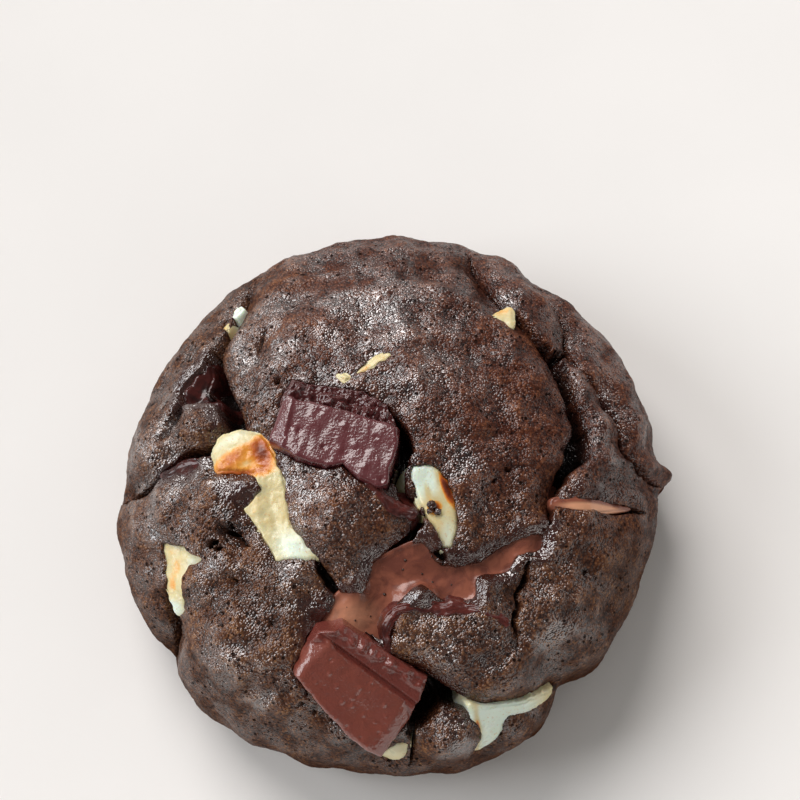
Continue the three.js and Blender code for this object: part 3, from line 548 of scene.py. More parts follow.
def crust_point(x, y, lift=0.0):
    """The crust point of a map point, lifted along the section's normal: out = r * widen - lift * dz/ds and
    up = z + lift * dr/ds, on the bearing of (x, y). Widen is 1 at the crown and takes in all of the rim's
    waviness at the widest radius."""
    arc, bearing = np.hypot(x, y), np.arctan2(y, x)

    def at(s):
        s = np.clip(s, 0, REACH)
        return np.interp(s, SECTION_ARC, SECTION_R), np.interp(s, SECTION_ARC, SECTION_Z)

    r, z = at(arc)
    r_in, z_in = at(arc - 0.5)
    r_out, z_out = at(arc + 0.5)
    length = np.hypot(r_out - r_in, z_out - z_in)
    off = (np.degrees(bearing)[..., None] - RIM[:, 0] + 180) % 360 - 180
    swell = np.sum(RIM[:, 2] * np.exp(-((off / RIM[:, 1]) ** 2)), axis=-1) / RADIUS
    out = r * (1 + swell * ease(r, CROWN, RADIUS)) - lift * (z_out - z_in) / length
    up = z + lift * (r_out - r_in) / length
    return np.stack([out * np.cos(bearing), out * np.sin(bearing), up], axis=-1)


def swells(x, y):
    """Lobes, dimples and low waves. Wave k is 0.18 sin(2 pi run / length + k), with its run on the bearing
    2.4 k and lengths from 11 to 21 mm."""
    low_waves = sum(
        0.18 * np.sin(2 * np.pi * (x * np.cos(2.4 * k) + y * np.sin(2.4 * k)) / (11 + 2.5 * k) + k)
        for k in range(5)
    )
    return humps(LOBES, x, y) + low_waves + humps(DIMPLES, x, y)


def seat_frame(at, yaw, dip, lean):
    """A frame on the swollen crust: its axes as the columns of a 3 x 3 matrix, and its origin. The third
    axis is the crust's normal, dipped towards the first axis and leant towards the second."""
    def on(dx, dy):
        x, y = np.array(at[0] + dx, float), np.array(at[1] + dy, float)
        return crust_point(x, y, humps(LOBES, x, y))

    normal = np.cross(on(1, 0) - on(-1, 0), on(0, 1) - on(0, -1))
    normal /= np.linalg.norm(normal)
    along = np.array([math.cos(math.radians(yaw)), math.sin(math.radians(yaw)), 0])
    along -= along @ normal * normal
    along /= np.linalg.norm(along)
    axes = np.stack([along, np.cross(normal, along), normal], axis=1)
    d, n = math.radians(dip), -math.radians(lean)
    turn_y = np.array([[math.cos(d), 0, math.sin(d)], [0, 1, 0], [-math.sin(d), 0, math.cos(d)]])
    turn_x = np.array([[1, 0, 0], [0, math.cos(n), -math.sin(n)], [0, math.sin(n), math.cos(n)]])
    return axes @ turn_y @ turn_x, on(0, 0)


# ---- The dough ----

SHOULDER_WIDTH = 3.2
THINNEST_CRACK = 0.12
NEAR_CRACK, NEAR_HOLE, NEAR_SHEET, NEAR_BAR = 8, 3, 4, 22  # how far off an opening still moves the skin
SEAT_FLOOR, SEAT_DEPTH = -12, 7.5  # how far below a bar's seat points belong to it, and how deep it sinks


class Opening(NamedTuple):
    """An opening of the crust at the map points near it, with one value for each point or for all."""

    near: np.ndarray  # the indices of the points
    e: np.ndarray  # distance outside the lips
    way: np.ndarray  # unit vectors out of the opening
    deep: np.ndarray  # how far the points inside sink
    half: np.ndarray = 9.0  # half width
    hang: np.ndarray = 0.1  # how far the lips hang over
    lip_fall: np.ndarray = 0.3  # how far the lips round down, and how widely
    lip_width: float = 0.6
    shoulder: np.ndarray = 0.0  # how far the dough sinks beside the opening
    stain: np.ndarray = 0.0  # how strongly the dough beside it is stained


def ragged(run, side, amount, seed):
    """How far a torn edge strays at each place along its run, by noise with waves of 2.6 and 1.1 mm that
    differs from side to side."""
    curve = flat3(run, side * 9.0, seed * 5.0)
    return amount * (0.6 * drift(curve, 2.6) + 0.5 * drift(curve, 1.1, 3))


def around(loop, x, y, margin):
    """The indices of the points in a line's box, grown by a margin."""
    low, high = loop[:, :2].min(axis=0) - margin, loop[:, :2].max(axis=0) + margin
    return np.flatnonzero((x > low[0]) & (x < high[0]) & (y > low[1]) & (y < high[1]))


def crack_openings(x, y):
    """Cracks whose lips stray by their raggedness. They taper in over the last 3 mm, and across a crack the
    depth falls off as 1 - 0.35 (distance from its line / half width)^2."""
    for seed, (line, depth, hang, tear, shoulders) in enumerate(CRACKS.values()):
        curve = smooth_line(line, 1.0)
        near = around(curve, x, y, NEAR_CRACK)
        far, way, run, side, values, length = nearest_on(curve, x[near], y[near])
        tear_here = np.where(side > 0, *np.broadcast_to(tear, 2))
        half = values[:, 0]
        stray = ragged(run, side, tear_here * np.minimum(1, half / 0.6), seed)
        half = np.maximum(THINNEST_CRACK, half + stray)
        taper = np.sqrt(ease(np.minimum(run, length - run), -0.5, 3.0))
        floor = np.clip(1 - 0.35 * (far / np.maximum(half, 0.3)) ** 2, 0.3, 1)
        deep = depth * taper * np.clip(half / 0.5, 0.35, 1) * floor
        hang = hang * np.minimum(1, half / 1.2)
        shoulder = np.where(side > 0, *shoulders) * np.exp(-((far / SHOULDER_WIDTH) ** 2)) * taper
        yield Opening(near, far - half, way, deep, half, hang, 0.5 * taper, 0.7, shoulder)


def hole_openings(x, y):
    """Gas holes, deepest in the middle: at bearing b the radius is radius * (1 + 0.25 sin 2b + 0.15 sin 3b),
    with both waves turned by the hole's place."""
    for at_x, at_y, radius, depth in HOLES:
        near = around(np.array([[at_x, at_y]]), x, y, NEAR_HOLE)
        off = np.stack([x[near] - at_x, y[near] - at_y], 1)
        far = np.linalg.norm(off, axis=1)
        bearing = np.arctan2(off[:, 1], off[:, 0])
        half = radius * (1 + 0.25 * np.sin(2 * bearing + at_x) + 0.15 * np.sin(3 * bearing + at_y))
        deep = depth * np.clip(1 - (far / half) ** 2, 0.35, 1)
        way = off / np.maximum(far, 1e-9)[:, None]
        yield Opening(near, far - half, way, deep, half, 0.1 * radius, 0.2, 0.4)


def sheet_openings(x, y):
    """Seats of the chocolate sheets: their outlines with a ragged lip, a little deeper than their undersides.
    The dough beside them rounds down and is stained as exp(-(e / width)^2)."""
    for seed, (name, sheet) in enumerate(SHEETS.items()):
        loop = sheet_loop(sheet)
        near = around(loop, x, y, NEAR_SHEET)
        e, way, run = to_edge(loop, x[near], y[near])
        e = e - ragged(run, 1.0, 0.45, seed + 40) - 0.1
        roll = ROLL.get(name, ROLL_PLAIN) * np.exp(-((np.maximum(e, 0) / ROLL_WIDTH) ** 2))
        stain = STAIN.get(name, 0) * np.exp(-((np.maximum(e, 0) / STAIN_WIDTH) ** 2))
        yield Opening(near, e, way, 0.6 - sheet.underside, hang=0.15, lip_fall=0.15, lip_width=0.5,
                      shoulder=roll, stain=stain)


def bar_openings(x, y):
    """Seats of the bar pieces: the nearer of face and ledge as seen along the seat's own axis, with a gap of
    0.3 mm and a ragged lip."""
    for seed, bar in enumerate(BARS.values()):
        axes, at = seat_frame(*bar["seat"])
        near = around(np.array([bar["seat"][0]]), x, y, NEAR_BAR)
        x_near, y_near = x[near], y[near]
        local = (crust_point(x_near, y_near, swells(x_near, y_near)) - at) @ axes
        near, local = near[local[:, 2] > SEAT_FLOOR], local[local[:, 2] > SEAT_FLOOR]
        face, ledge = (to_edge(np.array(bar[part], float), *local[:, :2].T) for part in ("face", "ledge"))
        nearer = ledge[0] < face[0]
        e, run = np.where(nearer, ledge[0], face[0]), np.where(nearer, ledge[2], face[2])
        way = np.where(nearer[:, None], ledge[1], face[1])
        yaw = math.radians(bar["seat"][1])
        turned = np.array([[math.cos(yaw), math.sin(yaw)], [-math.sin(yaw), math.cos(yaw)]])
        e = e - 0.3 - ragged(run, 1.0, 0.4, seed + 60)
        yield Opening(near, e, way @ turned, SEAT_DEPTH, stain=0.4 * np.exp(-np.maximum(e, 0)))


def opened(x, y, cell):
    """Moves the grid's map points onto the lips of every crack, hole and seat of chocolate, and gives how
    far each point is sunk, how far it is from a lip, how far the dough falls there and how stained it is.
    With e the distance outside a lip and w the opening's half width, the points with e up to
    e0 = max(-cell/2, cell/2 - w) are inside and sink, the next cell's width goes to the lip, and the points
    beyond it close up evenly over two more cells."""
    first = np.full(len(x), np.inf)
    sunk, fall, stained = np.zeros(len(x)), np.zeros(len(x)), np.zeros(len(x))
    edge = np.full(len(x), 99.0)
    push = np.zeros((len(x), 2))
    sources = (crack_openings, hole_openings, sheet_openings, bar_openings)
    for opening in itertools.chain(*(source(x, y) for source in sources)):
        near, e, hang = opening.near, opening.e, opening.hang
        lip_down = opening.lip_fall * np.exp(-np.maximum(e, 0) / opening.lip_width)
        fall[near] = np.maximum(fall[near], lip_down + opening.shoulder)
        stained[near] = np.maximum(stained[near], opening.stain)
        e0 = np.maximum(-cell / 2, cell / 2 - opening.half)
        q = e - e0
        sunk[near] = np.maximum(sunk[near], np.where(q < 0, opening.deep, 0))
        edge[near] = np.minimum(edge[near], e)
        lip = (q >= 0) & (q <= cell)
        beyond = (q > cell) & (q < 3 * cell)
        target = np.where(lip, -hang, e)
        target = np.where(beyond, -hang + (q - cell) / (2 * cell) * (e0 + 3 * cell + hang), target)
        nearer = q < first[near]
        shift = np.where(lip | beyond, target - e, 0)
        push[near] = np.where(nearer[:, None], opening.way * shift[:, None], push[near])
        first[near] = np.minimum(first[near], q)
    return x + push[:, 0], y + push[:, 1], sunk, np.maximum(edge, 0), fall, stained


def sheet_loop(sheet):
    """The closed outline of a sheet. White chocolate keeps its broken corners, with sides that stray by up
    to 0.35 mm, and the others have run smooth."""
    if sheet.slot != "white_chocolate":
        return smooth_line(sheet.outline, 0.8, closed=True)
    corners = np.array([*sheet.outline, sheet.outline[0]], float)
    run = np.concatenate([[0], np.cumsum(np.linalg.norm(np.diff(corners, axis=0), axis=1))])
    at = np.arange(0, run[-1] - 0.3, 0.6)
    loop = np.stack([np.interp(at, run, corners[:, 0]), np.interp(at, run, corners[:, 1])], 1)
    return loop + 0.35 * np.stack([drift(flat3(*loop.T), 1.5, 70), drift(flat3(*loop.T), 1.5, 71)], 1)


def crag(bare):
    """Uneven skin of the dough: layered noise that dies down to 0.22 of its height from the top to the sides,
    grains side by side and a little fine noise."""
    lively = 0.22 + 0.78 * ease(bare[:, 2], 9, 31)
    coarse = 0.6 * layered(bare, 6.5, 2, 1) + 0.26 * layered(bare, 2.8, 2, 9)
    return coarse * lively + 0.18 * (0.55 - beads(bare, 1.5, 2)) + 0.05 * drift(bare, 0.9, 8)


def trail_outline(line):
    """A closed outline 0.8 mm beyond the widths of a line of (x, y, half width)."""
    curve = smooth_line(line, 1.5)
    run = np.gradient(curve[:, :2], axis=0)
    run /= np.linalg.norm(run, axis=1, keepdims=True)
    across = np.stack([-run[:, 1], run[:, 0]], 1) * (curve[:, 2:] + 0.8)
    return np.vstack([curve[:, :2] + across, (curve[:, :2] - across)[::-1]])


def cookie_crust(cells):
    """The whole crust down to its flat base: the pressed disc with arc = reach (0.84 ring + 0.16 ring^8),
    lifted by lobes and waves and by the crag of its skin, less the rounded shoulders beside the openings and
    less the depth of each opening. The relief dies out over the last 7 mm above the base. The marks say how
    sunk, near a lip, wet and shaded, oily and high each point is, and that the far side and the right are
    ruddy. The dough's colour turns the sunk, lip and height marks into painted shade, and into painted light
    on the crag's tops. The wet mark holds painted shade beside cracks and lobes as well as real moist stains."""
    ring, bearing, quads, rim = pressed_disc(cells)
    even, crowded = 0.84, 0.16
    arc = REACH * (even * ring + crowded * ring ** 8)
    x, y = arc * np.cos(bearing), arc * np.sin(bearing)
    cell = 2 * REACH * even / cells
    x, y, sunk, edge, fall, stained = opened(x, y, cell)
    arc = np.hypot(x, y)
    fade = ease(REACH - arc, 0, BASE_FADE)
    bare = crust_point(x, y)
    broken = np.where(sunk > 0, 0.3 * layered(bare, 2.0, 2, 5), 0)
    skin = crag(bare)
    lift = fade * (swells(x, y) + skin - fall + broken) - ease(REACH - arc, 1, BASE_FADE) * sunk
    points = crust_point(x, y, lift)
    points[rim, 2] = 0
    # This mark darkens and glosses the dough: real moist stains, the sheets' stains, and painted shade beside
    # cracks and lobes.
    wet_and_shade = humps(WET_AND_SHADE, x, y) + stained
    wet_and_shade = wet_and_shade + 0.5 * drift(bare, 2.2, 12) * (wet_and_shade > 0.1)
    oily = OILY_PLAIN + humps(OILY, x, y)
    return closed_below(points, quads, rim, (0, 0, 0), {
        # How far each point is sunk, which the dough's colour turns into painted shadow
        "sunk": np.clip(sunk / 2.5, 0, 1),
        "lip": np.exp(-edge / 0.7),
        "wet_and_shade": np.clip(wet_and_shade, 0, 1),
        "oily": np.clip(oily, 0, 1.2) * ease(bare[:, 2], 8, 24),
        # How high the crag stands, which the dough's colour turns into painted shade in the crag's hollows
        # and painted light on its tops
        "relief_shade": np.clip(0.5 + 0.7 * skin, 0, 1),
        "ruddy": ease(y, -20, 6) * ease(x, -34, -10),
    })


# ---- The chocolate and the crumbs ----

SHEET_CELL = 0.24
SHEET_MARGIN = 1.35  # how far a sheet reaches under the dough past its outline
DROP_START, DROP_END = 0.5, 1.05  # how far outside its outline a sheet drops to its underside
SHEET_FOOT = 6  # how far the last rings go down below a sheet's underside
SHEET_TOP, BAR_TOP = 0.94, 0.86  # the share of the rings before those of the foot or the wall


def choc_sheet(loop, sheet, seed, swell=(), line=None):
    """Chocolate in an opening, over a disc a little wider than its outline. With e the distance outside the
    outline: the top is rounded down as a quarter circle over the last part inside the edge, or raised by
    meniscus * exp(e / 0.5), and past the edge it drops to the underside, from which the last rings go down
    to the foot. A trail takes its outline from its line's widths, and lies on the dough's skin."""
    centre = (loop.min(axis=0) + loop.max(axis=0)) / 2
    widest = np.linalg.norm(loop - centre, axis=1).max() + SHEET_MARGIN
    ring, bearing, quads, rim = pressed_disc(int(np.clip(2 * widest / SHEET_CELL, 30, 190)))
    spoke = np.stack([np.cos(bearing), np.sin(bearing)], -1)
    reach = (spoke @ (loop - centre).T).max(axis=1) + SHEET_MARGIN
    x, y = (centre + (reach * np.minimum(ring / SHEET_TOP, 1))[:, None] * spoke).T
    bare = crust_point(x, y)
    if line is None:
        e, coat = to_edge(loop, x, y)[0], 0
    else:
        far, _, run, side, values, _ = nearest_on(smooth_line(line, 0.7), x, y)
        e = far - values[:, 0] + 0.5 * drift(flat3(run, 7.0 * side, 3.0), 1.6)
        coat = crag(bare)
    near = np.clip(1 + e / max(sheet.rounding, 1e-3), 0, 0.999)
    top = sheet.top - sheet.rounding * (1 - np.sqrt(1 - near ** 2))
    top = top + sheet.meniscus * np.exp(np.minimum(e, 0) / 0.5) + humps(swell, x, y) + coat
    top = top + sheet.rough * layered(bare, 2.4, 3, 20 + seed) * np.clip(1 - e, 0, 1)
    drop = ease(e, DROP_START, DROP_END)
    flange = sheet.underside - np.clip(1.3 * (e - DROP_END), 0, 5)
    lift = top * (1 - drop) + flange * drop
    foot = sheet.underside - SHEET_FOOT
    lift = lift + (foot - lift) * ease(ring, SHEET_TOP, 1.0)
    points = crust_point(x, y, swells(x, y) + lift)
    middle = crust_point(*centre, swells(*centre) + foot)
    return closed_below(points, quads, rim, middle, {"toast_and_light": np.clip(humps(TOAST_AND_LIGHT, x, y), -1, 1)})


def rounded(e, high, radius):
    """High inside the edge, rounded down over its last part as a quarter circle, and steep outside it."""
    near = np.clip(1 + e / radius, 0, 0.9995)
    return high - radius * (1 - np.sqrt(1 - near ** 2)) - 7 * np.maximum(e, 0)


def dots(spot, cell, width, seed):
    """Round spots, one to a cell: exp(-(distance / width)^2), with both in cells."""
    return np.exp(-((beads(spot, cell, seed) / width) ** 2))


def dark_bar_relief(u, v):
    """Height of the dark bar's face and ledge over their plain levels: creases across the face as drift over
    long cells, small pits and blisters, and a chamfer that falls 0.6 mm over the last 1.9 mm at the left,
    behind a low burr."""
    spot = flat3(u, v)
    creases = 0.08 * drift(flat3(u, v * 0.5 + 0.1 * u), 1.7, 31) + 0.2 * drift(flat3(u, v * 0.8), 4.0, 33)
    spots = 0.16 * dots(spot, 3.3, 0.2, 6) - 0.3 * dots(spot, 2.8, 0.16, 4)
    chamfer = -0.6 * ease(-9.3 - u - 0.08 * v, -0.3, 1.9)
    burr = 0.12 * np.exp(-(((u + 9.0 + 0.08 * v) / 0.4) ** 2))
    face = creases + spots + chamfer + burr
    ledge = 0.7 * layered(spot, 2.2, 3, 35) + 0.45 * ease(drift(spot, 1.6, 37), 0.1, 0.6)
    return face, ledge


def milk_bar_relief(u, v):
    """Height of the milk bar's face and flange over their plain levels: faint waves, pits and blisters, a
    smooth chamfer at each end, and a flange that slopes away to a knobbly rim behind a crease."""
    spot = flat3(u, v)
    spots = 0.2 * dots(spot, 2.0, 0.16, 5) - 0.16 * dots(spot, 2.6, 0.14, 7)
    face = 0.3 * drift(spot, 5.0, 41) + 0.09 * drift(flat3(u * 0.5, v), 1.4, 42) + spots
    face = face - 0.9 * ease(u + 0.12 * v, 6.4, 10.2) - 1.1 * ease(-u, 10.4, 13.2)
    slope = -0.22 * np.maximum(v - 3.6, 0) - 0.5 * np.maximum(3.2 - v, 0)
    rim = 0.9 * np.exp(-(((v - 7.2 - 0.1 * u) / 1.1) ** 2)) * (1 + 1.1 * drift(spot, 1.5, 44))
    crease = -0.6 * np.exp(-(((v - 4.0 - 0.02 * u) / 0.35) ** 2))
    return face, slope + rim + crease + 0.1 * drift(spot, 2.0, 45)


RELIEFS = {"dark_chunk": dark_bar_relief, "milk_chunk": milk_bar_relief}


def choc_bar(name, cells):
    """A bar piece in its seat's frame: a disc pressed into its outline, whose height is the smooth greater of
    face and ledge, each rounded at its own edge, and whose last rings are the wall down to the underside.
    The smooth greater of a and b is max(a, b) + k/4 * max(0, 1 - |a - b| / k)^2."""
    bar = BARS[name]
    face_loop, ledge_loop = (np.array(bar[part], float) for part in ("face", "ledge"))
    centre = face_loop.mean(axis=0)
    ring, bearing, quads, rim = pressed_disc(cells)
    spoke = np.stack([np.cos(bearing), np.sin(bearing)], -1)
    wobble = 0.3 * drift(flat3(*(6 * spoke.T)), 0.9, 50)
    reach = reach_of([face_loop, ledge_loop], bearing, centre) + wobble
    u, v = (centre + (reach * np.minimum(ring / BAR_TOP, 1))[:, None] * spoke).T
    wave = 0.3 * drift(flat3(u, v), 2.2, 52)
    face_e = to_edge(face_loop, u, v)[0] + wave
    ledge_e = to_edge(ledge_loop, u, v)[0] + wave
    face_relief, ledge_relief = RELIEFS[name](u, v)
    a = rounded(face_e, bar["face_high"], bar["rounding"]) + face_relief
    b = rounded(ledge_e, bar["ledge_high"], 0.5) + ledge_relief
    top = np.maximum(a, b) + 0.1 * np.maximum(0, 1 - np.abs(a - b) / 0.4) ** 2
    wall = ease(ring, BAR_TOP, 1.0)
    height = np.maximum(top, bar["low"] + 1) * (1 - wall) + bar["low"] * wall
    axes, at = seat_frame(*bar["seat"])
    points = flat3(u, v, height) @ axes.T + at
    middle = np.array([*centre, bar["low"]]) @ axes.T + at
    return closed_below(points, quads, rim, middle, {"face": ease(a - b, -0.1, 0.3)})


def crumb_cloud():
    """Small broken crumbs: on a grid of turn a and height h, each point stands at
    0.55 size * (1 + 0.6 noise) along (cos a sqrt(1 - h^2), sin a sqrt(1 - h^2), 0.7 h), with both poles
    closed. They lie on the skin of the dough, or on its swell where it is sunk."""
    turns, levels, flat = 12, 7, 0.7
    heights = np.cos(np.linspace(0, np.pi, levels + 2)[1:-1])
    h, a = np.meshgrid(heights, np.linspace(0, 2 * np.pi, turns, endpoint=False), indexing="ij")
    ball = np.stack([np.cos(a) * np.sqrt(1 - h ** 2), np.sin(a) * np.sqrt(1 - h ** 2), flat * h], -1)
    ball = np.vstack([ball.reshape(-1, 3), [[0, 0, flat], [0, 0, -flat]]])
    index = np.arange(turns * levels).reshape(levels, turns)
    beside = np.roll(index, -1, axis=1)
    quads = np.stack([index[:-1], index[1:], beside[1:], beside[:-1]], -1).reshape(-1, 4)
    top, bottom = turns * levels, turns * levels + 1
    caps = np.vstack([
        np.stack([np.full(turns, top), index[0], beside[0]], -1),
        np.stack([np.full(turns, bottom), beside[-1], index[-1]], -1),
    ])
    many = len(CRUMBS)
    x, y, lift, size = CRUMBS.T
    _, _, sunk, _, fall, _ = opened(x, y, 0.4)
    skin = np.where(sunk > 0, 0, crag(crust_point(x, y)) - fall)
    places = crust_point(x, y, swells(x, y) + skin + lift)
    own = np.arange(many)[:, None, None] * 4.7
    lumps = drift((ball + own).reshape(-1, 3), 0.8, 60).reshape(many, -1, 1)
    points = places[:, None] + 0.55 * size[:, None, None] * ball * (1 + 0.6 * lumps)
    step = (np.arange(many) * len(ball))[:, None, None]
    faces = (quads + step).reshape(-1, 4), (caps + step).reshape(-1, 3)
    damp = np.full(many * len(ball), 0.4)
    return points.reshape(-1, 3), faces, {"oily": damp, "wet_and_shade": damp}


# ---- Meshes and materials ----


def mesh_piece(name, surface, material, slot, stands_for=None):
    """Puts points in millimetres, quads, triangles and per-point marks into one closed smooth mesh."""
    points, (quads, triangles), marks = surface
    mesh = bpy.data.meshes.new(name)
    mesh.vertices.add(len(points))
    mesh.vertices.foreach_set("co", (np.asarray(points) * MM).astype(np.float32).ravel())
    corners = np.concatenate([quads.ravel(), triangles.ravel()])
    mesh.loops.add(len(corners))
    mesh.loops.foreach_set("vertex_index", corners.astype(np.int32))
    mesh.polygons.add(len(quads) + len(triangles))
    starts = np.concatenate([4 * np.arange(len(quads)), quads.size + 3 * np.arange(len(triangles))])
    mesh.polygons.foreach_set("loop_start", starts.astype(np.int32))
    mesh.update(calc_edges=True)
    mesh.shade_smooth()
    for mark, values in marks.items():
        mesh.attributes.new(mark, "FLOAT", "POINT").data.foreach_set("value", values.astype(np.float32))
    if mesh.validate():
        raise RuntimeError(f"{name} has faces that share points or don't close")
    mesh.materials.append(material)
    piece = bpy.data.objects.new(name, mesh)
    bpy.context.scene.collection.objects.link(piece)
    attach(piece, BODY)
    if stands_for:
        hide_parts(stands_for)


def linear(red, green, blue):
    """A colour read from 0 to 255 as light: ((c + 0.055) / 1.055)^2.4, or c / 12.92 where it is dark."""
    c = np.array([red, green, blue]) / 255
    return tuple(np.where(c > 0.04045, ((c + 0.055) / 1.055) ** 2.4, c / 12.92)) + (1.0,)


class Recipe:
    """A material whose nodes read Object coordinates in millimetres."""

    def __init__(self, name):
        self.material = bpy.data.materials.new(name)
        self.material.use_nodes = True
        self.nodes, self.links = self.material.node_tree.nodes, self.material.node_tree.links
        self.nodes.clear()
        self.shader = self.node("ShaderNodeBsdfPrincipled")
        self.node("ShaderNodeOutputMaterial", {"Surface": self.shader.outputs[0]})
        place = self.node("ShaderNodeTexCoord").outputs["Object"]
        to_millimetres = {"Vector": place, "Scale": (1 / MM,) * 3}
        self.place = self.node("ShaderNodeMapping", to_millimetres).outputs[0]

    def put(self, socket, value):
        """Links a node's output to a socket, or sets the socket to a constant."""
        if isinstance(value, bpy.types.NodeSocket):
            self.links.new(value, socket)
        else:
            socket.default_value = value

    def node(self, kind, inputs=(), **settings):
        """A node of a kind, with its settings and with its inputs by name or number."""
        node = self.nodes.new(kind)
        for key, value in settings.items():
            setattr(node, key, value)
        for key, value in dict(inputs).items():
            self.put(node.inputs[key], value)
        return node

    def noise(self, size, detail=2.0, rough=0.5, twist=0.0):
        """Soft noise from 0 to 1 with waves of the given size."""
        inputs = {"Vector": self.place, "Scale": 1 / size, "Detail": detail, "Roughness": rough,
                  "Distortion": twist}
        return self.node("ShaderNodeTexNoise", inputs).outputs[0]

    def cells(self, size, what="Distance"):
        """Distance to the nearest of one random point per cell, or a random colour of that cell."""
        inputs = {"Vector": self.place, "Scale": 1 / size}
        return self.node("ShaderNodeTexVoronoi", inputs).outputs[what]

    def times(self, a, b):
        return self.node("ShaderNodeMath", {0: a, 1: b}, operation="MULTIPLY").outputs[0]

    def total(self, first, *others):
        """The sum of value * weight over the pairs."""
        result = self.times(*first)
        for value, weight in others:
            inputs = {0: value, 1: weight, 2: result}
            result = self.node("ShaderNodeMath", inputs, operation="MULTIPLY_ADD").outputs[0]
        return result

    def span(self, value, low, high, to_low=0.0, to_high=1.0):
        """A value from low to high, turned smoothly into one from to_low to to_high."""
        inputs = {0: value, 1: low, 2: high, 3: to_low, 4: to_high}
        return self.node("ShaderNodeMapRange", inputs, interpolation_type="SMOOTHSTEP").outputs[0]

    def mark(self, name):
        """A mark of the mesh's points."""
        return self.node("ShaderNodeAttribute", attribute_name=name).outputs["Fac"]

    def ramp(self, value, *stops):
        """A colour by the value, from stops of (value, colour)."""
        node = self.node("ShaderNodeValToRGB", {0: value})
        bands = node.color_ramp.elements
        bands.remove(bands[1])
        bands[0].position, bands[0].color = stops[0]
        for at, colour in stops[1:]:
            bands.new(at).color = colour
        return node.outputs[0]

    def mix(self, share, a, b, how="MIX"):
        """Colour a, with colour b over it by the share."""
        inputs = {0: share, 6: a, 7: b}
        return self.node("ShaderNodeMix", inputs, data_type="RGBA", blend_type=how).outputs[2]

    def finish(self, colour, roughness, height, more, strength=1.0):
        """Sets the shader's own sockets: more gives further ones by name. Height is in millimetres."""
        bump_inputs = {"Height": height, "Distance": MM, "Strength": strength}
        bump = self.node("ShaderNodeBump", bump_inputs).outputs[0]
        looks = {"Base Color": colour, "Roughness": roughness, "Normal": bump, "Coat Normal": bump, **more}
        for name, value in looks.items():
            self.put(self.shader.inputs[name], value)
        return self.material


def dough_material(settings):
    """Dark baked cocoa dough: leathery wrinkles, fine grains and pin holes, glints where it is oily, and a
    moist, stained look beside the openings, which is partly painted shade. Painted shade also makes the dough
    near black where it is sunk in the openings and in the pin holes, and darker at the lips and in the
    hollows of its relief. Painted light makes it lighter on the relief's tops."""
    r = Recipe("baked_dough")
    patches, damp, waves = r.noise(6, 3), r.noise(4.4, 3), r.noise(6.5, 1)
    wrinkles = r.noise(1.4, 2, 0.6, 0.3)
    grain = r.span(r.cells(0.44), 0.05, 0.8, 1.0, 0.0)
    off_pit = r.span(r.total((r.cells(1.0), 1.0), (r.cells(1.0, "Color"), 0.6)), 0.3, 0.47)
    sunk, lip, wet_and_shade, oily = r.mark("sunk"), r.mark("lip"), r.mark("wet_and_shade"), r.mark("oily")
    height = r.total((waves, 1.0), (wrinkles, 0.4), (grain, 0.12), (off_pit, 0.22))
    # Besides random patches and grain colours, the tone follows the grains, the wrinkles and the crag's
    # height. This gives painted shade in the hollows between grains, in the folds and in the crag's valleys,
    # and painted light on their tops.
    shade = r.total((patches, 0.14), (r.cells(0.44, "Color"), 0.24), (grain, 0.1), (wrinkles, 0.24),
                    (r.mark("relief_shade"), 0.16))
    colour = r.ramp(shade, (0.32, settings.dough_dark), (0.47, settings.dough_colour),
                    (0.64, settings.dough_light))
    colour = r.mix(r.mark("ruddy"), colour, linear(246, 224, 240), "MULTIPLY")
    # Painted shade: the pin holes are made near black.
    colour = r.mix(r.span(off_pit, 0.0, 1.0, 0.85, 0.0), colour, linear(22, 12, 8))
    colour = r.mix(r.span(oily, 0.0, 0.3, 0.45, 0.0), colour, linear(64, 43, 33))
    # Darker where wet, stained and shaded, and near every lip of a crack, hole or seat, which is painted
    # shade at the edges of the openings.
    stain = r.span(r.total((wet_and_shade, 1.0), (lip, 0.2)), 0.12, 0.8, 0.0, 0.85)
    colour = r.mix(stain, colour, linear(50, 20, 15))
    # Painted shadow: the dough sunk into cracks, holes and seats is made near black.
    colour = r.mix(r.span(sunk, 0.0, 1.0, 0.0, 0.92), colour, linear(16, 9, 8))
    roughness = r.total((r.span(damp, 0.35, 0.65, 0.62, 0.45), 1.0), (wet_and_shade, -0.2))
    glints = r.times(r.span(damp, 0.36, 0.64, 0.3, 1.35), oily)
    # The coat is taken out of the pin holes, so that their painted shade stays dark.
    shine = r.times(r.total((glints, 1.0), (wet_and_shade, 0.42)), r.span(off_pit, 0.3, 1.0))
    return r.finish(colour, roughness, height, {
        "Coat Weight": shine, "Coat Roughness": 0.09, "Coat IOR": 2.2,
        "Specular IOR Level": r.times(oily, 0.15),
    }, r.span(wet_and_shade, 0.2, 1.0, 1.0, 0.55))


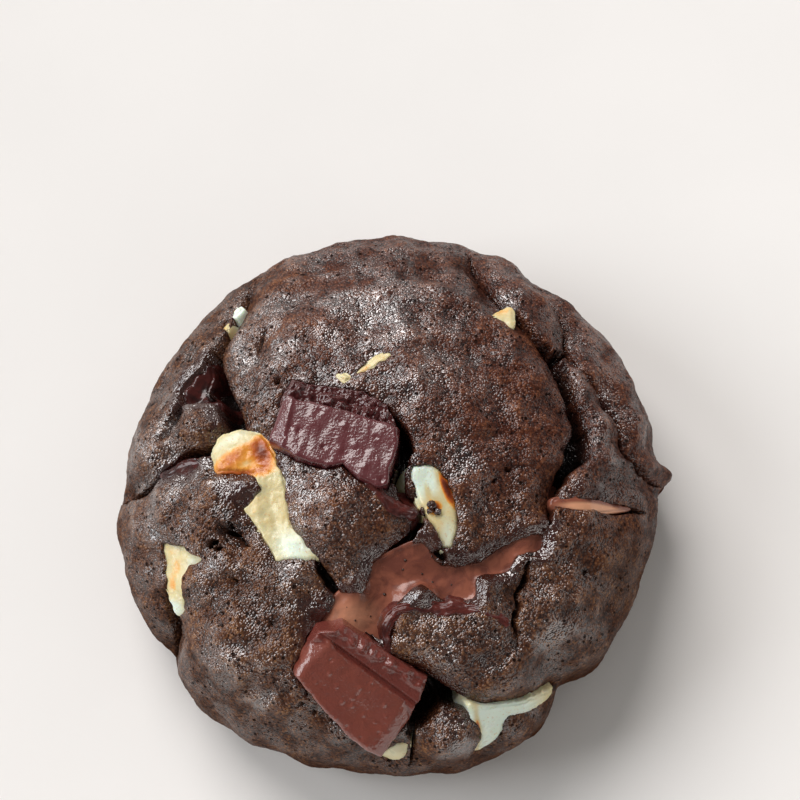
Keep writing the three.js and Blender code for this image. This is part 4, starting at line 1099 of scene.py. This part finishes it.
def bar_material(name, face, side, roughness, wave, coat):
    """Chocolate of a broken bar: a satin face, a glossier ledge whose darker colour is painted shade on that
    lower, sloping side, and small blisters. Wave is the height of its waves in millimetres."""
    r = Recipe(name)
    cloud, waves, on_face = r.noise(5, 3), r.noise(1.3, 2, 0.5, 0.4), r.mark("face")
    blisters = r.span(r.cells(0.5), 0.05, 0.8, 1.0, 0.0)
    colour = r.mix(on_face, side, face)
    colour = r.mix(r.span(cloud, 0.35, 0.7, 0.0, 0.4), colour, side)
    height = r.total((waves, wave), (blisters, 0.14 * wave), (r.noise(0.4, 1), 0.5 * wave))
    matt = r.total((r.span(waves, 0.3, 0.7, roughness - 0.06, roughness + 0.08), 1.0), (on_face, 0.1))
    return r.finish(colour, matt, height, {
        "Coat Weight": r.span(on_face, 0.0, 1.0, 0.65 * coat, coat),
        "Coat Roughness": r.span(on_face, 0.0, 1.0, 0.08, 0.15),
        "Coat IOR": 1.7, "Specular IOR Level": 0.3,
    })


def smooth_chocolate_material(name, colour, dark, roughness):
    """Melted chocolate that has set: smooth and glossy, with faint swirls, paler or darker where its mark
    says so, which is painted light and shade."""
    r = Recipe(name)
    swirl, toast_and_light = r.noise(4, 2, 0.5, 1.5), r.mark("toast_and_light")
    tone = r.mix(r.span(swirl, 0.35, 0.7), colour, dark)
    # Painted light: paler where the mark is high, on the pool's left and the slab's broken edge. Painted
    # shade: darker where the mark is less than nothing, on the pool's middle.
    tone = r.mix(r.span(toast_and_light, 0.2, 0.7), tone, linear(222, 162, 126))
    tone = r.mix(r.span(toast_and_light, -0.7, -0.05, 0.8, 0.0), tone, dark)
    height = r.total((r.noise(2.2, 2), 0.16), (r.noise(0.5, 1), 0.02))
    return r.finish(tone, r.span(swirl, 0.3, 0.7, roughness - 0.04, roughness + 0.06), height, {})


def white_material(settings):
    """White chocolate: creamy with tan specks, toasted where its mark says so, and a cooler, paler cream
    where the mark is less than nothing, which is partly painted light on pieces that lie in shade."""
    r = Recipe("white_chocolate_cream")
    mottle, speck, mark = r.noise(2.6, 3), r.noise(0.5, 2, 0.6), r.mark("toast_and_light")
    cream = r.mix(r.span(mottle, 0.35, 0.7), settings.white_colour, linear(216, 198, 146))
    # A cooler, paler cream where the mark is less than nothing: partly painted light that brightens pieces
    # lying in shade.
    cream = r.mix(r.span(mark, -0.7, 0.0, 1.0, 0.0), cream, linear(226, 240, 224))
    cream = r.mix(r.span(speck, 0.6, 0.72, 0.0, 0.5), cream, linear(205, 152, 88))
    toast_and_light = r.total((mark, 1.0), (mottle, 0.3), (speck, 0.14), (-0.22, 1.0))
    toasted = r.ramp(toast_and_light, (0.1, linear(224, 196, 134)), (0.3, linear(230, 158, 62)),
                     (0.5, linear(188, 96, 30)), (0.75, linear(118, 48, 18)), (1.0, linear(70, 28, 16)))
    colour = r.mix(r.span(toast_and_light, 0.06, 0.26), cream, toasted)
    height = r.total((mottle, 0.14), (speck, 0.05))
    r.shader.subsurface_method = "RANDOM_WALK"
    return r.finish(colour, r.span(mottle, 0.3, 0.7, 0.24, 0.38), height, {
        "Subsurface Weight": 0.35, "Subsurface Scale": 1.2 * MM, "Subsurface Radius": (1.0, 0.75, 0.4),
    })


# ---- Stage ----

FLOOR_REACH, FLOOR_RISE, FLOOR_GAP = 1600, 500, 0.02
LIGHTS_AIM = 15  # how high above the base the lights aim


def make_floor():
    """A pale floor just below the base: a disc with r = 1600 ring and z = 500 ease(ring) in millimetres, so
    that its edge curls up like a sweep."""
    ring, bearing, quads, _ = pressed_disc(48)
    r = FLOOR_REACH * ring
    rise = FLOOR_RISE * ease(ring, 0.75, 1.0) - FLOOR_GAP
    points = flat3(r * np.cos(bearing), r * np.sin(bearing), rise)
    mesh = bpy.data.meshes.new("floor")
    mesh.from_pydata(points * MM, [], quads)
    mesh.shade_smooth()
    recipe = Recipe("pale_floor")
    clouds = recipe.span(recipe.noise(40, 2), 0.3, 0.7)
    pale = recipe.mix(clouds, linear(239, 237, 234), linear(241, 239, 236))
    grain = recipe.times(recipe.noise(3, 1), 0.01)
    mesh.materials.append(recipe.finish(pale, 0.9, grain, {"Specular IOR Level": 0.1}))
    floor = bpy.data.objects.new("floor", mesh)
    bpy.context.scene.collection.objects.link(floor)
    floor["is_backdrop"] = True


def make_lights(settings):
    """A soft window light from the back left, a wide one from the left, a faint fill from above that leaves
    no glints, and even light all around."""
    scene = bpy.context.scene
    scene.view_settings.view_transform = "Standard"
    world = bpy.data.worlds.new("room")
    world.use_nodes = True
    background = world.node_tree.nodes["Background"]
    background.inputs["Color"].default_value = (1.0, 0.985, 0.965, 1)
    background.inputs["Strength"].default_value = settings.room_strength
    scene.world = world
    middle = Vector((0, 0, LIGHTS_AIM * MM))
    plans = (
        ("window", (-0.34, 0.64, 0.68), 40, settings.window_strength, (1.0, 0.96, 0.945), True),
        ("side_window", (-0.84, 0.06, 0.46), 38, settings.side_strength, (0.95, 0.97, 1.0), True),
        ("fill", (0.10, -0.20, 1.0), 120, settings.fill_strength, (1.0, 0.985, 0.96), False),
    )
    for name, place, spread, power, colour, glints in plans:
        light = bpy.data.lights.new(name, "SUN")
        light.angle, light.energy, light.color = math.radians(spread), power, colour
        lamp = bpy.data.objects.new(name, light)
        lamp.location = place
        lamp.rotation_euler = (middle - Vector(place)).to_track_quat("-Z", "Y").to_euler()
        lamp.visible_glossy = glints
        scene.collection.objects.link(lamp)


def aim_camera(settings):
    """Stands the camera before the cookie at its height and distance, and aims it above the middle and to
    the right of it, so that the cookie stands low in the picture."""
    scene = bpy.context.scene
    lens = bpy.data.cameras.new("camera")
    lens.lens, lens.sensor_width = settings.lens, 36
    camera = bpy.data.objects.new("camera", lens)
    scene.collection.objects.link(camera)
    middle = Vector((0, 0, WAIST * MM))
    back = Vector((0, -math.cos(settings.elevation), math.sin(settings.elevation)))
    upward = Vector((0, math.sin(settings.elevation), math.cos(settings.elevation)))
    camera.location = middle + settings.distance * back
    aim = middle + Vector((AIM_RIGHT * MM, 0, 0)) + AIM_UP * MM * upward
    camera.rotation_euler = (aim - camera.location).to_track_quat("-Z", "Y").to_euler()
    scene.camera = camera


# ---- Add-on ----


class CookieDoughSettings(bpy.types.PropertyGroup):
    """Grid and colours of the dough"""

    cells: IntProperty(
        name="Crust cells", description="Cells along each side of the crust's grid",
        default=308, min=40, max=312)
    dough_colour: FloatVectorProperty(
        name="Dough", description="Colour of the baked dough",
        subtype="COLOR", size=4, min=0, max=1, default=linear(86, 51, 32))
    # The dark and light dough colours are the ends of the tone ramp. Random patches reach them, and so do the
    # painted shade of the relief's hollows and the painted light on its tops.
    dough_dark: FloatVectorProperty(
        name="Dark dough", description="Colour of its darkest patches",
        subtype="COLOR", size=4, min=0, max=1, default=linear(38, 20, 14))
    dough_light: FloatVectorProperty(
        name="Light dough", description="Colour of its lightest grains",
        subtype="COLOR", size=4, min=0, max=1, default=linear(138, 95, 58))


class CookieChocolateSettings(bpy.types.PropertyGroup):
    """Grid and colours of the chocolate"""

    cells: IntProperty(
        name="Bar cells", description="Cells along each side of a bar's grid",
        default=230, min=40, max=300)
    dark_colour: FloatVectorProperty(
        name="Dark chocolate", description="Colour of the dark bar's face",
        subtype="COLOR", size=4, min=0, max=1, default=linear(94, 40, 44))
    milk_colour: FloatVectorProperty(
        name="Milk chocolate", description="Colour of the milk bar's face",
        subtype="COLOR", size=4, min=0, max=1, default=linear(124, 62, 49))
    pool_colour: FloatVectorProperty(
        name="Melted milk chocolate", description="Colour of the pool",
        subtype="COLOR", size=4, min=0, max=1, default=linear(146, 86, 66))
    white_colour: FloatVectorProperty(
        name="White chocolate", description="Colour of the cream",
        subtype="COLOR", size=4, min=0, max=1, default=linear(212, 202, 157))


class CookieStageSettings(bpy.types.PropertyGroup):
    """Strengths of the lights and place of the camera"""

    window_strength: FloatProperty(
        name="Window light", description="Strength of the soft light from the back left", default=2.5, min=0)
    side_strength: FloatProperty(
        name="Side window", description="Strength of the wide light from the left", default=1.85, min=0)
    fill_strength: FloatProperty(
        name="Fill light", description="Strength of the wide light from above", default=0.4, min=0)
    room_strength: FloatProperty(
        name="Room light", description="Strength of the even light from all around", default=0.10, min=0)
    elevation: FloatProperty(
        name="Camera height", description="Camera angle above the horizon",
        default=math.radians(76), unit="ROTATION")
    distance: FloatProperty(
        name="Camera distance", description="Distance from the middle of the cookie",
        default=0.45, unit="LENGTH")
    lens: FloatProperty(
        name="Lens", description="Focal length on a 36 mm sensor", default=108.9, min=1, unit="CAMERA")


class COOKIE_OT_crust(bpy.types.Operator):
    """Makes the baked crust with its lobes, cracks and openings"""

    bl_idname = "cookie.make_crust"
    bl_label = "Crust"

    def execute(self, context):
        settings = context.scene.cookie_dough
        material = dough_material(settings)
        mesh_piece("crust", cookie_crust(settings.cells), material, "dough", "cookie_dough")
        mesh_piece("crumbs", crumb_cloud(), material, "dough")
        return {"FINISHED"}


class COOKIE_OT_bars(bpy.types.Operator):
    """Makes the dark and the milk bar pieces"""

    bl_idname = "cookie.make_bars"
    bl_label = "Bar pieces"

    def execute(self, context):
        settings = context.scene.cookie_chocolate
        # The second colour of each bar, its ledge's, is darker as painted shade.
        dark = bar_material("dark_bar_chocolate", settings.dark_colour, linear(72, 26, 26), 0.3, 0.1, 0.8)
        milk = bar_material("milk_bar_chocolate", settings.milk_colour, linear(112, 54, 46), 0.3, 0.13, 0.7)
        mesh_piece("dark_bar", choc_bar("dark_chunk", settings.cells), dark, "dark_chocolate", "dark_chunk")
        mesh_piece("milk_bar", choc_bar("milk_chunk", settings.cells), milk, "milk_chocolate", "milk_chunk")
        return {"FINISHED"}


class COOKIE_OT_melted(bpy.types.Operator):
    """Makes the melted and sunken chocolate in the openings"""

    bl_idname = "cookie.make_melted"
    bl_label = "Melted chocolate"

    def execute(self, context):
        settings = context.scene.cookie_chocolate
        looks = {
            "dark_chocolate": smooth_chocolate_material(
                "dark_melt", linear(68, 27, 24), linear(38, 16, 15), 0.2),
            "milk_chocolate": smooth_chocolate_material(
                "milk_melt", settings.pool_colour, linear(110, 60, 47), 0.24),
            "white_chocolate": white_material(settings),
        }
        for seed, (name, sheet) in enumerate(SHEETS.items()):
            surface = choc_sheet(sheet_loop(sheet), sheet, seed, RISEN.get(name, ()))
            mesh_piece(name + "_piece", surface, looks[sheet.slot], sheet.slot, name)
        satin = smooth_chocolate_material("trail_melt", linear(88, 38, 32), linear(54, 22, 20), 0.28)
        for seed, (name, (line, top, underside, node)) in enumerate(TRAILS.items()):
            outline = trail_outline(line)
            surface = choc_sheet(outline, Sheet(outline, top, underside), 30 + seed, line=line)
            mesh_piece(name, surface, satin, "dark_chocolate", node)
        return {"FINISHED"}


class COOKIE_OT_stage(bpy.types.Operator):
    """Sets up the pale floor, the soft lights and the camera"""

    bl_idname = "cookie.make_stage"
    bl_label = "Stage"

    def execute(self, context):
        settings = context.scene.cookie_stage
        make_floor()
        make_lights(settings)
        aim_camera(settings)
        return {"FINISHED"}


class COOKIE_PT_sidebar(bpy.types.Panel):
    """Lists the settings and the buttons that make the pieces in the 3D view's sidebar"""

    bl_label = "Triple Chocolate Cookie"
    bl_idname = "COOKIE_PT_sidebar"
    bl_space_type = "VIEW_3D"
    bl_region_type = "UI"
    bl_category = "Cookie"

    def draw(self, context):
        for group in ("cookie_dough", "cookie_chocolate", "cookie_stage"):
            box = self.layout.box()
            settings = getattr(context.scene, group)
            for name in settings.bl_rna.properties.keys():
                if name not in ("rna_type", "name"):
                    box.prop(settings, name)
        for operator in OPERATORS:
            self.layout.operator(operator.bl_idname)


OPERATORS = (COOKIE_OT_crust, COOKIE_OT_bars, COOKIE_OT_melted, COOKIE_OT_stage)
GROUPS = {
    "cookie_dough": CookieDoughSettings,
    "cookie_chocolate": CookieChocolateSettings,
    "cookie_stage": CookieStageSettings,
}


def register():
    for group in (*GROUPS.values(), *OPERATORS, COOKIE_PT_sidebar):
        bpy.utils.register_class(group)
    for name, group in GROUPS.items():
        setattr(bpy.types.Scene, name, PointerProperty(type=group))


def unregister():
    for name in GROUPS:
        delattr(bpy.types.Scene, name)
    for group in (COOKIE_PT_sidebar, *reversed(OPERATORS), *reversed(GROUPS.values())):
        bpy.utils.unregister_class(group)


def main():
    register()
    bpy.ops.cookie.make_crust()
    bpy.ops.cookie.make_bars()
    bpy.ops.cookie.make_melted()
    bpy.ops.cookie.make_stage()
    boxes = {"cad": CAD_BOX, "visual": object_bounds()}
    {name: [list(corner) for corner in box] for name, box in boxes.items()}


if __name__ == "__main__":
    main()
